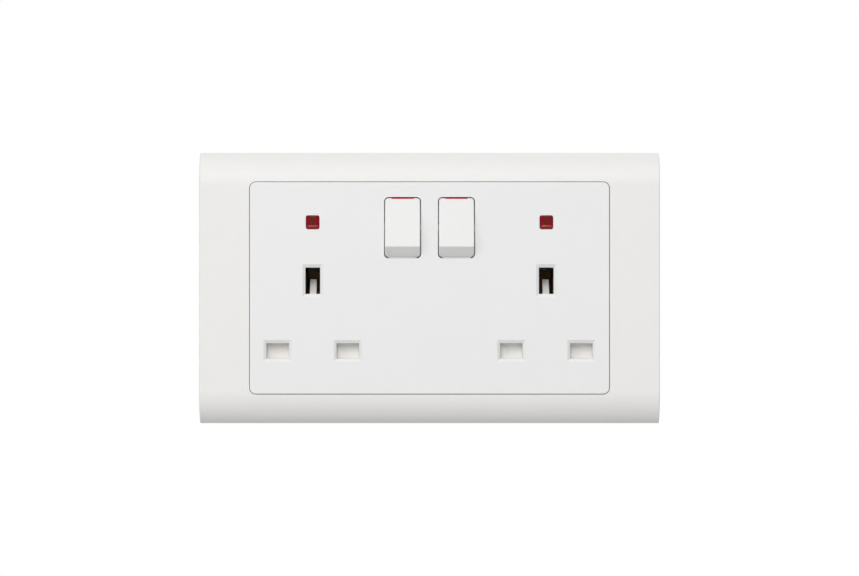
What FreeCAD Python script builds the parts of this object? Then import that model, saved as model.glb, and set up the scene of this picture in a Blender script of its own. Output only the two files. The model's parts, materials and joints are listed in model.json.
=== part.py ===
import FreeCAD, Part
import Sketcher
import os
import re
from FreeCAD import Placement, Rotation, Vector

# A twin switched wall socket for square three-pin plugs, in millimetres.
# X runs to the viewer's right, Z up, and Y from the face into the wall.
# The origin is the middle of the plate on the wall plane.

SIZES = [
    # the clip-on frame
    ("frame_side", 15.87, "frame beside its window"),
    ("frame_band", 9.27, "frame above and below its window"),
    ("frame_depth", 9.2, "wall plane to the flat front of the frame"),
    ("frame_wall", 2.2, "frame wall"),
    ("frame_edge", 3.0, "straight edge at the top and bottom of the frame"),
    ("frame_flat", 0.73, "curve start inside the window edge"),
    ("frame_round", 0.45, "rounding of the frame's end edges"),
    ("lip_wall", 1.5, "wall round the frame window"),
    ("hook_inset", 7.0, "hooks inside the socket centres"),
    ("hook_width", 8.0, "hook width"),
    ("hook_leg", 1.2, "hook leg thickness"),
    ("hook_gap", 0.3, "hook leg to flange edge"),
    ("hook_catch", 1.0, "barb reach behind the flange"),
    ("hook_barb", 0.8, "barb thickness"),
    ("hook_play", 0.2, "barb to rebate floor and to the wall"),
    ("hook_start", 0.6, "hook leg behind the frame's inner face"),
    # the insert, its skirt and the flange
    ("insert_side", 8.835, "insert beside the outer line pins"),
    ("insert_foot", 13.62, "insert below the line pins"),
    ("insert_head", 4.75, "insert above the rocker openings"),
    ("insert_corner", 2.0, "insert corner radius"),
    ("insert_gap", 0.18, "gap between insert and frame window"),
    ("insert_rise", 0.3, "insert face in front of the frame face"),
    ("insert_round", 0.3, "rounding of the insert edge"),
    ("front_wall", 2.8, "insert wall"),
    ("skirt_inset", 2.2, "skirt behind the insert edge"),
    ("skirt_wall", 1.8, "skirt wall"),
    ("skirt_corner", 2.6, "skirt corner radius"),
    ("flange_side_gap", 4.3, "flange to the frame's side walls"),
    ("flange_band_gap", 3.3, "flange to the frame's upper and lower walls"),
    ("flange_thickness", 3.0, "flange thickness"),
    ("flange_corner", 4.0, "flange corner radius"),
    ("fixing_offset", 3.35, "fixing screws beside the insert"),
    ("fixing_slot_height", 4.2, "fixing slot, across"),
    ("fixing_slot_length", 5.4, "fixing slot, along"),
    ("fixing_notch", 8.0, "height of the lip notch at a screw head"),
    # the fixing screws
    ("fixing_radius", 1.75, "fixing screw thread"),
    ("fixing_neck", 1.5, "fixing screw neck in the flange"),
    ("fixing_length", 20.0, "thread behind the wall plane"),
    ("fixing_head", 3.0, "fixing screw head radius"),
    ("fixing_head_height", 2.2, "fixing screw head height"),
    ("fixing_drive", 0.9, "fixing screw slot depth"),
    ("drive_width", 0.8, "width of a slot or cross in a screw head"),
    ("drive_depth", 0.8, "depth of a slot or cross in a smaller screw head"),
    # the sockets
    ("socket_pitch", 74.0, "distance between socket centres"),
    ("earth_level", 2.3, "earth pin line above the plate middle"),
    ("pin_pitch", 22.23, "line pin spacing and earth pin offset"),
    ("line_slot_width", 7.2, "line slot width"),
    ("line_slot_height", 4.9, "line slot height"),
    ("earth_slot_width", 4.7, "earth slot width"),
    ("earth_slot_height", 8.4, "earth slot height"),
    ("slot_bevel", 0.85, "slot bevel, at the sides"),
    ("slot_bevel_rise", 1.05, "slot bevel, above and below"),
    ("slot_bevel_depth", 0.65, "slot bevel, inwards"),
    ("slot_depth", 4.8, "face to the back of a slot boss"),
    ("slot_boss_wall", 1.5, "slot boss wall"),
    ("line_pin_length", 17.7, "line pin length"),
    ("pin_end_gap", 0.6, "pin end to the live brass"),
    # the switch rockers
    ("rocker_pitch", 17.06, "distance between rockers"),
    ("rocker_open_width", 11.7, "rocker opening width"),
    ("rocker_open_height", 19.4, "rocker opening height"),
    ("rocker_open_corner", 1.4, "rocker opening corner radius"),
    ("rocker_corner", 1.1, "rocker corner radius"),
    ("rocker_gap", 0.26, "rocker to opening"),
    ("rocker_foot_gap", 0.42, "rocker foot to the opening foot"),
    ("rocker_pivot_depth", 3.0, "face to the rocker axis"),
    ("rocker_tilt", 7.0, "tilt to either side, degrees"),
    ("rocker_sink", 0.5, "rocker top behind the face when off"),
    ("rocker_rise", 4.0, "rocker ridge in front of the face when off"),
    ("rocker_ridge", 3.65, "ridge above the foot of the opening"),
    ("rocker_foot_sink", 0.2, "rocker foot behind the face when off"),
    ("rocker_skirt", 4.3, "face to the back of the rocker"),
    ("rocker_wall", 1.4, "rocker wall"),
    ("ridge_wall", 1.82, "rocker wall at the ridge"),
    ("foot_wall", 1.26, "rocker wall at the foot"),
    ("rocker_round", 0.4, "rounding of the rocker edges"),
    ("rocker_relief", 0.6, "draft of the opening foot"),
    ("draft_inset", 0.2, "draft short of the opening corners"),
    ("lip_sink", 0.45, "foot lip behind the face when off"),
    ("lip_depth", 1.0, "foot lip from front to back"),
    ("lip_gap", 0.05, "foot lip above the opening foot when off"),
    ("lip_inset", 0.15, "foot lip short of the draft ends"),
    ("trunnion_radius", 1.1, "rocker axle radius"),
    ("trunnion_length", 1.5, "rocker axle beyond the rocker"),
    ("bearing_play", 0.06, "axle to bearing"),
    ("bearing_rib", 1.7, "bearing rib thickness"),
    ("bearing_rib_height", 8.0, "bearing rib height"),
    ("bearing_rib_depth", 3.0, "bearing rib behind the front wall"),
    ("flash_width", 7.0, "red flash width"),
    ("flash_thickness", 0.35, "red flash thickness"),
    ("flash_depth", 2.4, "red flash depth"),
    ("stem_radius", 2.3, "rocker stem radius"),
    ("stem_reach", 7.8, "rocker stem from the rocker axis"),
    ("stem_root", 1.1, "stem into the rocker's front"),
    ("plunger_radius", 1.3, "plunger radius"),
    ("plunger_play", 0.1, "plunger to bore and to lever"),
    ("plunger_seat", 4.4, "plunger tail from the rocker axis"),
    ("plunger_spring_seat", -0.6, "spring seat from the rocker axis"),
    ("plunger_spring_wire", 0.3, "plunger spring wire"),
    ("plunger_spring_pitch", 0.85, "plunger spring pitch"),
    # the contact levers
    ("lever_width", 4.0, "lever width"),
    ("lever_thickness", 1.0, "lever thickness"),
    ("lever_reach", 7.0, "lever axis to contact"),
    ("lever_end", 1.5, "lever beyond the contact"),
    ("lever_pin", 0.5, "lever axle radius"),
    ("lever_axle_end", 0.2, "lever axle beyond the saddle ears"),
    ("lever_stop_gap", 0.2, "lever to its stop"),
    ("saddle_gap", 0.4, "lever to saddle ear"),
    ("saddle_height", 5.0, "live bar height at the saddles"),
    ("saddle_lip", 1.0, "saddle ear in front of the axle"),
    ("moving_button_radius", 1.2, "moving contact radius"),
    ("moving_button_height", 0.6, "moving contact height"),
    ("fixed_button_radius", 1.4, "fixed contact radius"),
    ("fixed_button_height", 0.5, "fixed contact height"),
    ("contact_air", 0.35, "contact buttons apart when on"),
    # the brass
    ("brass_sheet", 0.8, "brass thickness"),
    ("brass_pitch", 3.2, "distance between brass layers"),
    ("strip_width", 4.0, "brass strip width"),
    ("leg_width", 3.4, "brass leg width at the terminals"),
    ("leaf", 0.7, "contact leaf thickness"),
    ("pin_grip", 4.1, "distance between contact leaves"),
    ("leaf_flare", 0.75, "leaf mouth flare"),
    ("leaf_mouth", 1.6, "leaf mouth length"),
    ("leaf_start", 0.9, "tower front to leaf mouth"),
    ("line_leaf_width", 6.2, "line leaf width"),
    ("earth_leaf_height", 6.8, "earth leaf height"),
    ("earth_bar", 5.0, "earth bar height"),
    ("neutral_gap", 1.93, "neutral bar above the line towers"),
    ("crossing_rise", 3.0, "right live crossing above the neutral bar"),
    ("crossing_height", 3.0, "right live crossing height"),
    # the terminals
    ("terminal_pitch", 9.0, "distance between terminals"),
    ("terminal_width", 7.4, "terminal block width"),
    ("terminal_depth", 9.0, "terminal block depth"),
    ("terminal_height", 9.6, "terminal block height"),
    ("terminal_play", 0.1, "terminal to housing wall and leg to slot"),
    ("terminal_bore", 2.3, "wire bore radius"),
    ("terminal_bore_depth", 7.6, "wire bore depth"),
    ("terminal_bore_back", 4.6, "wire bore axis to the housing floor"),
    ("terminal_tongue", 1.0, "leg in the terminal slot"),
    ("terminal_screw_level", 4.2, "terminal screw above the block foot"),
    ("terminal_screw_radius", 1.8, "terminal screw thread"),
    ("terminal_screw_play", 0.05, "terminal thread to hole"),
    ("terminal_screw_head", 2.6, "terminal screw head radius"),
    ("terminal_screw_head_height", 1.8, "terminal screw head height"),
    ("terminal_screw_lift", 0.2, "screw head behind the block"),
    ("terminal_screw_tip", 0.2, "screw tip behind the wire bore"),
    ("terminal_screw_hole", 3.0, "housing hole round the screw head"),
    ("wire_entry", 2.9, "wire entry radius in the housing"),
    ("terminal_rib", 1.2, "rib between terminals"),
    ("terminal_rib_depth", 10.0, "rib in front of the housing floor"),
    # the shutters
    ("shutter_thickness", 1.8, "shutter thickness"),
    ("shutter_play", 0.2, "shutter to its guides"),
    ("shutter_overlap_side", 0.75, "shutter past the slots, sideways"),
    ("shutter_overlap_top", 0.4, "shutter past the slots, upwards"),
    ("shutter_overlap_foot", 0.6, "shutter past the slots, downwards"),
    ("shutter_stem", 7.6, "shutter stem width"),
    ("shutter_window", 4.2, "spring window width"),
    ("shutter_window_top", 1.8, "stem above the spring window"),
    ("shutter_window_length", 11.0, "spring window length"),
    ("tongue_width", 2.05, "ramp width"),
    ("tongue_show", 4.7, "ramp above the foot of the earth slot"),
    ("tongue_foot", 0.5, "stem below the foot of the earth slot"),
    ("tongue_toe", 0.3, "ramp foot above the foot of the earth slot"),
    ("tongue_run", 5.2, "ramp length inwards"),
    ("tongue_tip", 1.3, "ramp top length"),
    ("ramp_root", 1.5, "ramp into the stem"),
    ("shutter_travel", 5.8, "shutter travel"),
    ("peg_height", 1.8, "spring peg height"),
    ("peg_width", 3.2, "spring peg width"),
    ("shutter_spring_radius", 1.4, "shutter spring coil radius"),
    ("shutter_spring_wire", 0.4, "shutter spring wire"),
    ("shutter_spring_pitch", 1.5, "shutter spring pitch"),
    # the rear housing
    ("housing_wall", 1.8, "housing wall"),
    ("housing_back", 2.0, "housing back"),
    ("housing_inset", 0.4, "housing inside the skirt outline"),
    ("housing_corner", 2.0, "housing corner radius"),
    ("floor_gap", 1.0, "earth brass to the housing floor"),
    ("spigot_depth", 1.5, "housing spigot in the skirt"),
    ("spigot_play", 0.15, "spigot to skirt"),
    ("spigot_wall", 1.3, "spigot wall"),
    ("tower_wall", 1.1, "tower wall"),
    ("tower_air", 0.4, "contact to tower"),
    ("notch_air", 0.3, "brass to notch"),
    ("earth_tower_air", 0.3, "earth slot to tower, upwards"),
    ("post", 3.0, "post width"),
    # the case screws
    ("case_screw_inset", 3.55, "outer case screws inside the housing"),
    ("case_screw_gap", 1.1, "case screw boss to the brass beside it"),
    ("case_boss", 2.5, "case screw boss radius"),
    ("case_screw_radius", 1.25, "case screw thread"),
    ("case_screw_play", 0.1, "thread to hole"),
    ("case_screw_reach", 4.6, "thread in the faceplate"),
    ("case_screw_head", 2.2, "case screw head radius"),
    ("case_screw_head_height", 1.3, "case screw head height"),
    ("case_screw_sink", 1.5, "head recess depth"),
    ("case_recess_gap", 0.3, "screw head to its recess"),
    ("pilot_spare", 0.4, "pilot hole beyond the case screw"),
    # the neon indicators
    ("lens_head", 12.75, "insert above the lens middle"),
    ("lens_width", 4.2, "lens width"),
    ("lens_height", 4.3, "lens height"),
    ("lens_corner", 0.6, "lens corner radius"),
    ("lens_gap", 0.08, "lens to window"),
    ("lens_rise", 0.12, "lens in front of the face"),
    ("lens_bevel", 0.35, "lens edge bevel"),
    ("lens_flange", 1.0, "lens flange beyond the window"),
    ("lens_flange_thickness", 0.9, "lens flange thickness"),
    ("lamp_radius", 2.0, "lamp radius"),
    ("lamp_length", 9.6, "lamp length"),
    ("lamp_air", 0.3, "lamp to lens and to its tower"),
    ("lamp_tower", 6.6, "lamp tower width"),
    ("lead_radius", 0.45, "insulated lead radius"),
    ("lead_wire", 0.25, "bare lead radius"),
    ("lead_bend", 1.2, "lead bend radius"),
    ("lead_spread", 0.9, "lead from the lamp axis"),
    ("lead_gap", 2.715, "neutral lead beside the switched live strip"),
    ("lead_channel", 1.5, "lead channel, half height"),
    ("resistor_radius", 0.9, "resistor radius"),
    ("resistor_length", 3.2, "resistor length"),
    ("resistor_gap", 1.2, "resistor to strip edge"),
    # how far helper shapes run on
    ("overlap", 0.5, "joined shapes into each other"),
    ("past", 1.0, "cutting shapes past a face"),
    ("nudge", 0.1, "small run past a shared face"),
]

doc = FreeCAD.newDocument("twin_switched_socket")
dims = doc.addObject("Spreadsheet::Sheet", "dims")
for row, (alias, value, meaning) in enumerate(SIZES, start=1):
    dims.set(f"A{row}", meaning)
    dims.set(f"B{row}", str(value))
    dims.setAlias(f"B{row}", alias)
doc.recompute()
ALIASES = {alias for alias, value, meaning in SIZES}


def formula(text):
    """Turn plain alias names into references to the sheet."""
    return re.sub(r"[a-z_]+", lambda word: f"dims.{word[0]}" if word[0] in ALIASES else word[0], str(text))


def number(text):
    """The present value of a formula."""
    return float(dims.evalExpression(formula(text)))


# The pin layout sets the insert, and the insert sets the frame and the flange round it.
LINE_LEVEL = "(earth_level - pin_pitch)"
INSERT = ("(socket_pitch / 2 + pin_pitch / 2 + insert_side)", f"(insert_foot - {LINE_LEVEL})")
WINDOW = tuple(f"({half} + insert_gap)" for half in INSERT)
FRAME = (f"({WINDOW[0]} + frame_side)", f"({WINDOW[1]} + frame_band)")
FRAME_CURVE = "(frame_band + frame_flat)"
FLANGE = (f"({FRAME[0]} - frame_wall - flange_side_gap)", f"({FRAME[1]} - frame_wall - flange_band_gap)")
FIXING = f"({INSERT[0]} + fixing_offset)"
ROCKER_LEVEL = f"({INSERT[1]} - insert_head - rocker_open_height / 2)"
LENS_LEVEL = f"({INSERT[1]} - lens_head)"

# Planes that many pieces share, as formulas, all along Y.
FACE = "(-(frame_depth + insert_rise))"
FRONT_BACK = f"({FACE} + front_wall)"
SEAT = "(-flange_thickness)"
SLOT_BACK = f"({FACE} + slot_depth)"
SHUTTER_FRONT = f"({SLOT_BACK} + shutter_play)"
SHUTTER_BACK = f"({SHUTTER_FRONT} + shutter_thickness)"
TOWER_FRONT = f"({SHUTTER_BACK} + shutter_play)"
LIVE = f"({FACE} + line_pin_length + pin_end_gap)"
NEUTRAL = f"({LIVE} + brass_pitch)"
EARTH = f"({LIVE} + 2 * brass_pitch)"
FLOOR = f"({EARTH} + brass_sheet + floor_gap)"
BACK = f"({FLOOR} + housing_back)"
TILT_SINE = "sin(rocker_tilt * 1deg)"
TILT_COSINE = "cos(rocker_tilt * 1deg)"
PIVOT = f"({FACE} + rocker_pivot_depth)"
LEVER = (f"({LIVE} - lever_thickness / 2 - moving_button_height - fixed_button_height"
         f" - lever_reach * {TILT_SINE} - contact_air)")

# Half sizes, in X and Z, of the outlines nested inside the insert.
SKIRT = tuple(f"({half} - skirt_inset)" for half in INSERT)
SKIRT_IN = tuple(f"({half} - skirt_wall)" for half in SKIRT)
HOUSING = tuple(f"({half} - housing_inset)" for half in SKIRT)
HOUSING_IN = tuple(f"({half} - housing_wall)" for half in HOUSING)
SPIGOT = tuple(f"({half} - spigot_play)" for half in SKIRT_IN)

SIDES = {"left": -1, "right": 1}
SOCKET = {side: f"({sign} * socket_pitch / 2)" for side, sign in SIDES.items()}
SWITCH = {side: f"({sign} * rocker_pitch / 2)" for side, sign in SIDES.items()}
NEUTRAL_PIN = {side: f"({SOCKET[side]} - pin_pitch / 2)" for side in SIDES}
LIVE_PIN = {side: f"({SOCKET[side]} + pin_pitch / 2)" for side in SIDES}
TERMINALS = {
    "neutral": ("(-1.5 * terminal_pitch)", NEUTRAL),
    "left_earth": ("(-0.5 * terminal_pitch)", EARTH),
    "right_earth": ("(0.5 * terminal_pitch)", EARTH),
    "live": ("(1.5 * terminal_pitch)", LIVE),
}
TERMINAL_FOOT = f"(-{HOUSING_IN[1]} + terminal_play)"
TERMINAL_TOP = f"({TERMINAL_FOOT} + terminal_height)"

# Room that a line contact and an earth contact need in their towers, as half sizes in X and Z.
LINE_HALF = ("(line_leaf_width / 2 + tower_air)", "(pin_grip / 2 + leaf + leaf_flare + tower_air)")
EARTH_HALF = (LINE_HALF[1], "(earth_slot_height / 2 + earth_tower_air)")
NEUTRAL_LEVEL = f"({LINE_LEVEL} + {LINE_HALF[1]} + tower_wall + neutral_gap + strip_width / 2)"
CROSSING_LEVEL = f"({NEUTRAL_LEVEL} + crossing_rise)"
CASE_SIDE = f"({HOUSING_IN[0]} - case_screw_inset)"
CASE_TOP = f"({HOUSING_IN[1]} - case_screw_inset)"
CASE_MID = f"({CROSSING_LEVEL} + crossing_height / 2 + case_boss + case_screw_gap)"
CASE_LOW = f"({NEUTRAL_LEVEL} - strip_width / 2 - case_boss - case_screw_gap)"
CASE_SCREWS = [(f"({sign} * {across})", up)
               for sign in SIDES.values()
               for across, up in ((CASE_SIDE, CASE_TOP), (CASE_SIDE, CASE_MID),
                                  ("terminal_pitch", CASE_LOW))]


def span(middle, width):
    """The two ends of a width about a middle."""
    return f"{middle} - ({width}) / 2", f"{middle} + ({width}) / 2"


def both(half):
    """The two ends of a symmetric span."""
    return f"-({half})", f"{half}"


def block(name, x, y, z):
    """A box between three pairs of ends."""
    box = doc.addObject("Part::Box", name)
    for size, axis, (low, high) in (("Length", "x", x), ("Width", "y", y), ("Height", "z", z)):
        box.setExpression(size, formula(f"({high}) - ({low})"))
        box.setExpression(f"Placement.Base.{axis}", formula(low))
    return box


ALONG = {
    "x": Rotation(Vector(0, 1, 0), 90),
    "y": Rotation(Vector(1, 0, 0), -90),
    "z": Rotation(),
}


def rod(name, axis, ends, across, radius):
    """A cylinder along an axis; across holds its place on the other two axes, in order."""
    cylinder = doc.addObject("Part::Cylinder", name)
    cylinder.Placement = Placement(Vector(), ALONG[axis])
    cylinder.setExpression("Radius", formula(radius))
    cylinder.setExpression("Height", formula(f"({ends[1]}) - ({ends[0]})"))
    cylinder.setExpression(f"Placement.Base.{axis}", formula(ends[0]))
    for other, place in zip([letter for letter in "xyz" if letter != axis], across):
        cylinder.setExpression(f"Placement.Base.{other}", formula(place))
    return cylinder


def leaning_rod(name, x, pivot, lean, ends, up, radius):
    """A cylinder along Y in a frame that leans about X at a pivot, up from that pivot."""
    cylinder = doc.addObject("Part::Cylinder", name)
    cylinder.Placement = Placement(Vector(), ALONG["y"])
    cylinder.setExpression("Radius", formula(radius))
    cylinder.setExpression("Height", formula(f"({ends[1]}) - ({ends[0]})"))
    cylinder.setExpression("Placement.Rotation.Angle", formula(f"({lean}) - 90"))
    cosine = f"cos(({lean}) * 1deg)"
    sine = f"sin(({lean}) * 1deg)"
    cylinder.setExpression("Placement.Base.x", formula(x))
    cylinder.setExpression("Placement.Base.y",
                           formula(f"{pivot[0]} + ({ends[0]}) * {cosine} - ({up}) * {sine}"))
    cylinder.setExpression("Placement.Base.z",
                           formula(f"{pivot[1]} + ({ends[0]}) * {sine} + ({up}) * {cosine}"))
    return cylinder


def plane_of(body, role):
    """One of the body's own origin planes."""
    return next(feature for feature in body.Origin.OriginFeatures if feature.Role == role)


PLANES = {"x": "YZ_Plane", "y": "XZ_Plane", "z": "XY_Plane"}


def sketch_on(body, axis, ends):
    """An empty sketch across an axis, where a pad along that axis starts."""
    sketch = body.newObject("Sketcher::SketchObject", f"{body.Name}_outline")
    sketch.AttachmentSupport = (plane_of(body, PLANES[axis]), [""])
    sketch.MapMode = "FlatFace"
    start = f"-({ends[1]})" if axis == "y" else ends[0]
    sketch.setExpression("AttachmentOffset.Base.z", formula(start))
    return sketch


def pin_point(sketch, geometry, position, u, v):
    """Bind a sketch point to two formulas."""
    for kind, place in (("DistanceX", u), ("DistanceY", v)):
        index = sketch.addConstraint(
            Sketcher.Constraint(kind, -1, 1, geometry, position, number(place)))
        sketch.setExpression(f"Constraints[{index}]", formula(place))


def prism(name, axis, ends, corners, arcs=None, rounding=None):
    """Pad an outline along an axis.

    Corners run anticlockwise in the sketch. arcs names the sides that are arcs and the end
    at which each one meets its neighbour smoothly. rounding fillets the upright edges.
    """
    arcs = arcs or {}
    body = doc.addObject("PartDesign::Body", name)
    sketch = sketch_on(body, axis, ends)
    places = [Vector(number(u), number(v), 0) for u, v in corners]
    count = len(places)
    for index, start in enumerate(places):
        end = places[(index + 1) % count]
        if index in arcs:
            chord = end - start
            bulge = Vector(chord.y, -chord.x, 0) * 0.15
            sketch.addGeometry(Part.Arc(start, (start + end) * 0.5 + bulge, end))
        else:
            sketch.addGeometry(Part.LineSegment(start, end))
    for index in range(count):
        after = (index + 1) % count
        smooth = arcs.get(index) == "end" or arcs.get(after) == "start"
        kind = "Tangent" if smooth else "Coincident"
        sketch.addConstraint(Sketcher.Constraint(kind, index, 2, after, 1))
    for index, (u, v) in enumerate(corners):
        pin_point(sketch, index, 1, u, v)
    pad = body.newObject("PartDesign::Pad", f"{name}_pad")
    pad.Profile = sketch
    pad.setExpression("Length", formula(f"({ends[1]}) - ({ends[0]})"))
    if rounding:
        doc.recompute()
        direction = {"x": Vector(1, 0, 0), "y": Vector(0, 1, 0), "z": Vector(0, 0, 1)}[axis]
        upright = [f"Edge{place}" for place, edge in enumerate(pad.Shape.Edges, start=1)
                   if abs(abs(edge.tangentAt(edge.FirstParameter).dot(direction)) - 1) < 1e-6]
        fillet = body.newObject("PartDesign::Fillet", f"{name}_corners")
        fillet.Base = (pad, upright)
        fillet.setExpression("Radius", formula(rounding))
    return body


def rectangle(u, v):
    """The corners of a rectangle, anticlockwise."""
    return [(u[0], v[0]), (u[1], v[0]), (u[1], v[1]), (u[0], v[1])]


def panel(name, half, ends, rounding):
    """A rounded rectangle about the plate's middle, through a depth."""
    return prism(name, "y", ends, rectangle(both(half[0]), both(half[1])), rounding=rounding)


def join(name, *shapes):
    """One solid from several."""
    fused = doc.addObject("Part::MultiFuse", name)
    fused.Shapes = list(shapes)
    fused.Refine = True
    return fused


def group(name, *shapes):
    """Several separate solids under one name."""
    compound = doc.addObject("Part::Compound", name)
    compound.Links = list(shapes)
    return compound


def carve(name, base, *tools):
    """Take tools away from a base."""
    left = doc.addObject("Part::Cut", name)
    left.Base = base
    left.Tool = tools[0] if len(tools) == 1 else join(f"{name}_tools", *tools)
    left.Refine = True
    return left


def finish(name, base, *steps):
    """Bevel or round chosen edges of a finished solid, each step on the one before it."""
    body = doc.addObject("PartDesign::Body", name)
    body.BaseFeature = base
    doc.recompute()
    for place, (kind, choose, sizes) in enumerate(steps):
        before = body.Tip
        chosen = [f"Edge{index}" for index, edge in enumerate(before.Shape.Edges, start=1) if choose(edge)]
        step = body.newObject(f"PartDesign::{kind}", f"{name}_{kind.lower()}_{place}")
        step.Base = (before, chosen)
        step.setExpression("Radius" if kind == "Fillet" else "Size", formula(sizes[0]))
        doc.recompute()
        print(step.Name, len(chosen), "edges", step.State, round(step.Shape.Volume, 2))
    return body


nodes = {}


def piece(name, shape):
    """Keep a finished piece under its node name."""
    shape.Label = name
    nodes[name] = shape
    return shape


def outward(sign, inner, outer):
    """The ends of a span given from the middle outwards, on one side of it."""
    return (inner, outer) if sign > 0 else (f"-({outer})", f"-({inner})")


def around(middle, half, ends, name, rounding=None):
    """A block about a point of the face, through a depth, with rounded corners if asked."""
    u = (f"{middle[0]} - ({half[0]})", f"{middle[0]} + ({half[0]})")
    v = (f"{middle[1]} - ({half[1]})", f"{middle[1]} + ({half[1]})")
    if rounding:
        return prism(name, "y", ends, rectangle(u, v), rounding=rounding)
    return block(name, u, ends, v)


def funnel(name, middle, half, flare, depth):
    """A bevel tool with mitred corners: it opens by its flare at the face, and ends at a depth."""
    wedge = doc.addObject("Part::Wedge", name)
    wedge.setExpression("Ymin", formula(f"{FACE} - {depth}"))
    wedge.setExpression("Ymax", formula(f"{FACE} + {depth}"))
    for letter, place, reach, wider in zip("XZ", middle, half, flare):
        for end, sense in (("min", "-"), ("max", "+")):
            wedge.setExpression(f"{letter}{end}", formula(f"{place} {sense} ({reach} + 2 * {wider})"))
            wedge.setExpression(f"{letter}2{end}", formula(f"{place} {sense} ({reach})"))
    return wedge


def slotted_screw(name, x, z, shanks, head, radius, slot):
    """Rods along Y, a head, and a slot cut into the head's open end."""
    rods = [rod(f"{name}_shank_{index}", "y", ends, (x, z), size)
            for index, (ends, size) in enumerate(shanks)]
    solid = join(f"{name}_solid", rod(f"{name}_head", "y", head, (x, z), radius), *rods)
    groove = block(f"{name}_slot", span(x, f"2 * ({radius}) + past"), slot, span(z, "drive_width"))
    return carve(name, solid, groove)


# The frame: a pillow-shaped cup with a window, a lip that seats on the flange, and four hooks.

def pillow(name, depth, half, curve, back, ends):
    """The frame's section, flat in the middle and curved at the top and bottom, along X."""
    corners = [
        (back, half),
        ("-frame_edge", half),
        (f"-({depth})", f"{half} - ({curve})"),
        (f"-({depth})", f"-({half} - ({curve}))"),
        ("-frame_edge", f"-({half})"),
        (back, f"-({half})"),
    ]
    return prism(name, "x", ends, corners, arcs={1: "end", 3: "start"})


shell = pillow("frame_shell", "frame_depth", FRAME[1], FRAME_CURVE, "0", both(FRAME[0]))
hollow = pillow("frame_hollow", "frame_depth - frame_wall", f"({FRAME[1]} - frame_wall)",
                f"{FRAME_CURVE} - frame_wall", "1", both(f"{FRAME[0]} - frame_wall"))
lip = panel("frame_lip", [f"({half} + lip_wall)" for half in WINDOW],
            ("-(frame_depth - frame_wall / 2)", SEAT), "insert_corner + insert_gap + lip_wall")
window = panel("frame_window", WINDOW, ("-(frame_depth + past)", "0"), "insert_corner + insert_gap")

HOOK_LEG = f"({FLANGE[1]} + hook_gap)"
HOOKS = [(across, up) for across in SIDES.values() for up in SIDES.values()]
hooks = []
rebates = []
for index, (across, up) in enumerate(HOOKS):
    middle = f"({across} * (socket_pitch / 2 - hook_inset))"
    hooks.append(block(f"hook_leg_{index}", span(middle, "hook_width"),
                       ("-(frame_depth - frame_wall) + hook_start", "-hook_play"),
                       outward(up, HOOK_LEG, f"{HOOK_LEG} + hook_leg")))
    hooks.append(block(f"hook_barb_{index}", span(middle, "hook_width"),
                       ("-(hook_play + hook_barb)", "-hook_play"),
                       outward(up, f"{HOOK_LEG} - hook_catch", f"{HOOK_LEG} + hook_leg")))
    rebates.append(block(f"hook_rebate_{index}", span(middle, "hook_width + past"),
                         ("-(2 * hook_play + hook_barb)", "1"),
                         outward(up, f"{HOOK_LEG} - hook_catch - overlap", f"{FLANGE[1]} + past")))

notches = [block(f"lip_notch_{sign}", outward(sign, f"{WINDOW[0]} - past", f"{WINDOW[0]} + lip_wall + past"),
                 ("-(frame_depth - frame_wall)", "0"), both("fixing_notch / 2"))
           for sign in SIDES.values()]
cup = carve("frame_cup", shell, hollow)
frame_solid = carve("frame_solid", join("frame_body", cup, lip, *hooks), window, *notches)


def on_frame_end(edge):
    """Front edges of the frame's two end faces."""
    middle = edge.BoundBox.Center
    return edge.BoundBox.XLength < 1e-6 and abs(abs(middle.x) - number(FRAME[0])) < 1e-6 \
        and middle.y < number("-frame_edge")


piece("front_frame", finish("front_frame_body", frame_solid, ("Fillet", on_frame_end, ["frame_round"])))

# The faceplate: the insert, its skirt and the flange are one moulding.

SLOTS = {}
for side in SIDES:
    SLOTS[f"{side}_earth"] = (SOCKET[side], "earth_level", "earth_slot_width / 2", "earth_slot_height / 2")
    SLOTS[f"{side}_neutral"] = (NEUTRAL_PIN[side], LINE_LEVEL, "line_slot_width / 2", "line_slot_height / 2")
    SLOTS[f"{side}_live"] = (LIVE_PIN[side], LINE_LEVEL, "line_slot_width / 2", "line_slot_height / 2")

slab = panel("insert_slab", INSERT, (FACE, FRONT_BACK), "insert_corner")
skirt = panel("skirt_block", SKIRT, (f"{FACE} + front_wall / 2", "0"), "skirt_corner")
flange = panel("flange_plate", FLANGE, (SEAT, "0"), "flange_corner")
skirt_void = panel("skirt_void", SKIRT_IN, (FRONT_BACK, "1"), "skirt_corner - skirt_wall")
faceplate_parts = [carve("faceplate_shell", join("faceplate_block", slab, skirt, flange), skirt_void)]
faceplate_cuts = list(rebates)

for name, (x, z, half_width, half_height) in SLOTS.items():
    boss = (f"{half_width} + slot_boss_wall", f"{half_height} + slot_boss_wall")
    faceplate_parts.append(around((x, z), boss, (f"{FRONT_BACK} - overlap", SLOT_BACK), f"{name}_slot_boss"))
    faceplate_cuts.append(around((x, z), (half_width, half_height),
                                 (f"{FACE} - past", f"{SLOT_BACK} + past"), f"{name}_slot"))
    faceplate_cuts.append(funnel(f"{name}_bevel", (x, z), (half_width, half_height),
                                 ("slot_bevel", "slot_bevel_rise"), "slot_bevel_depth"))

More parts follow.
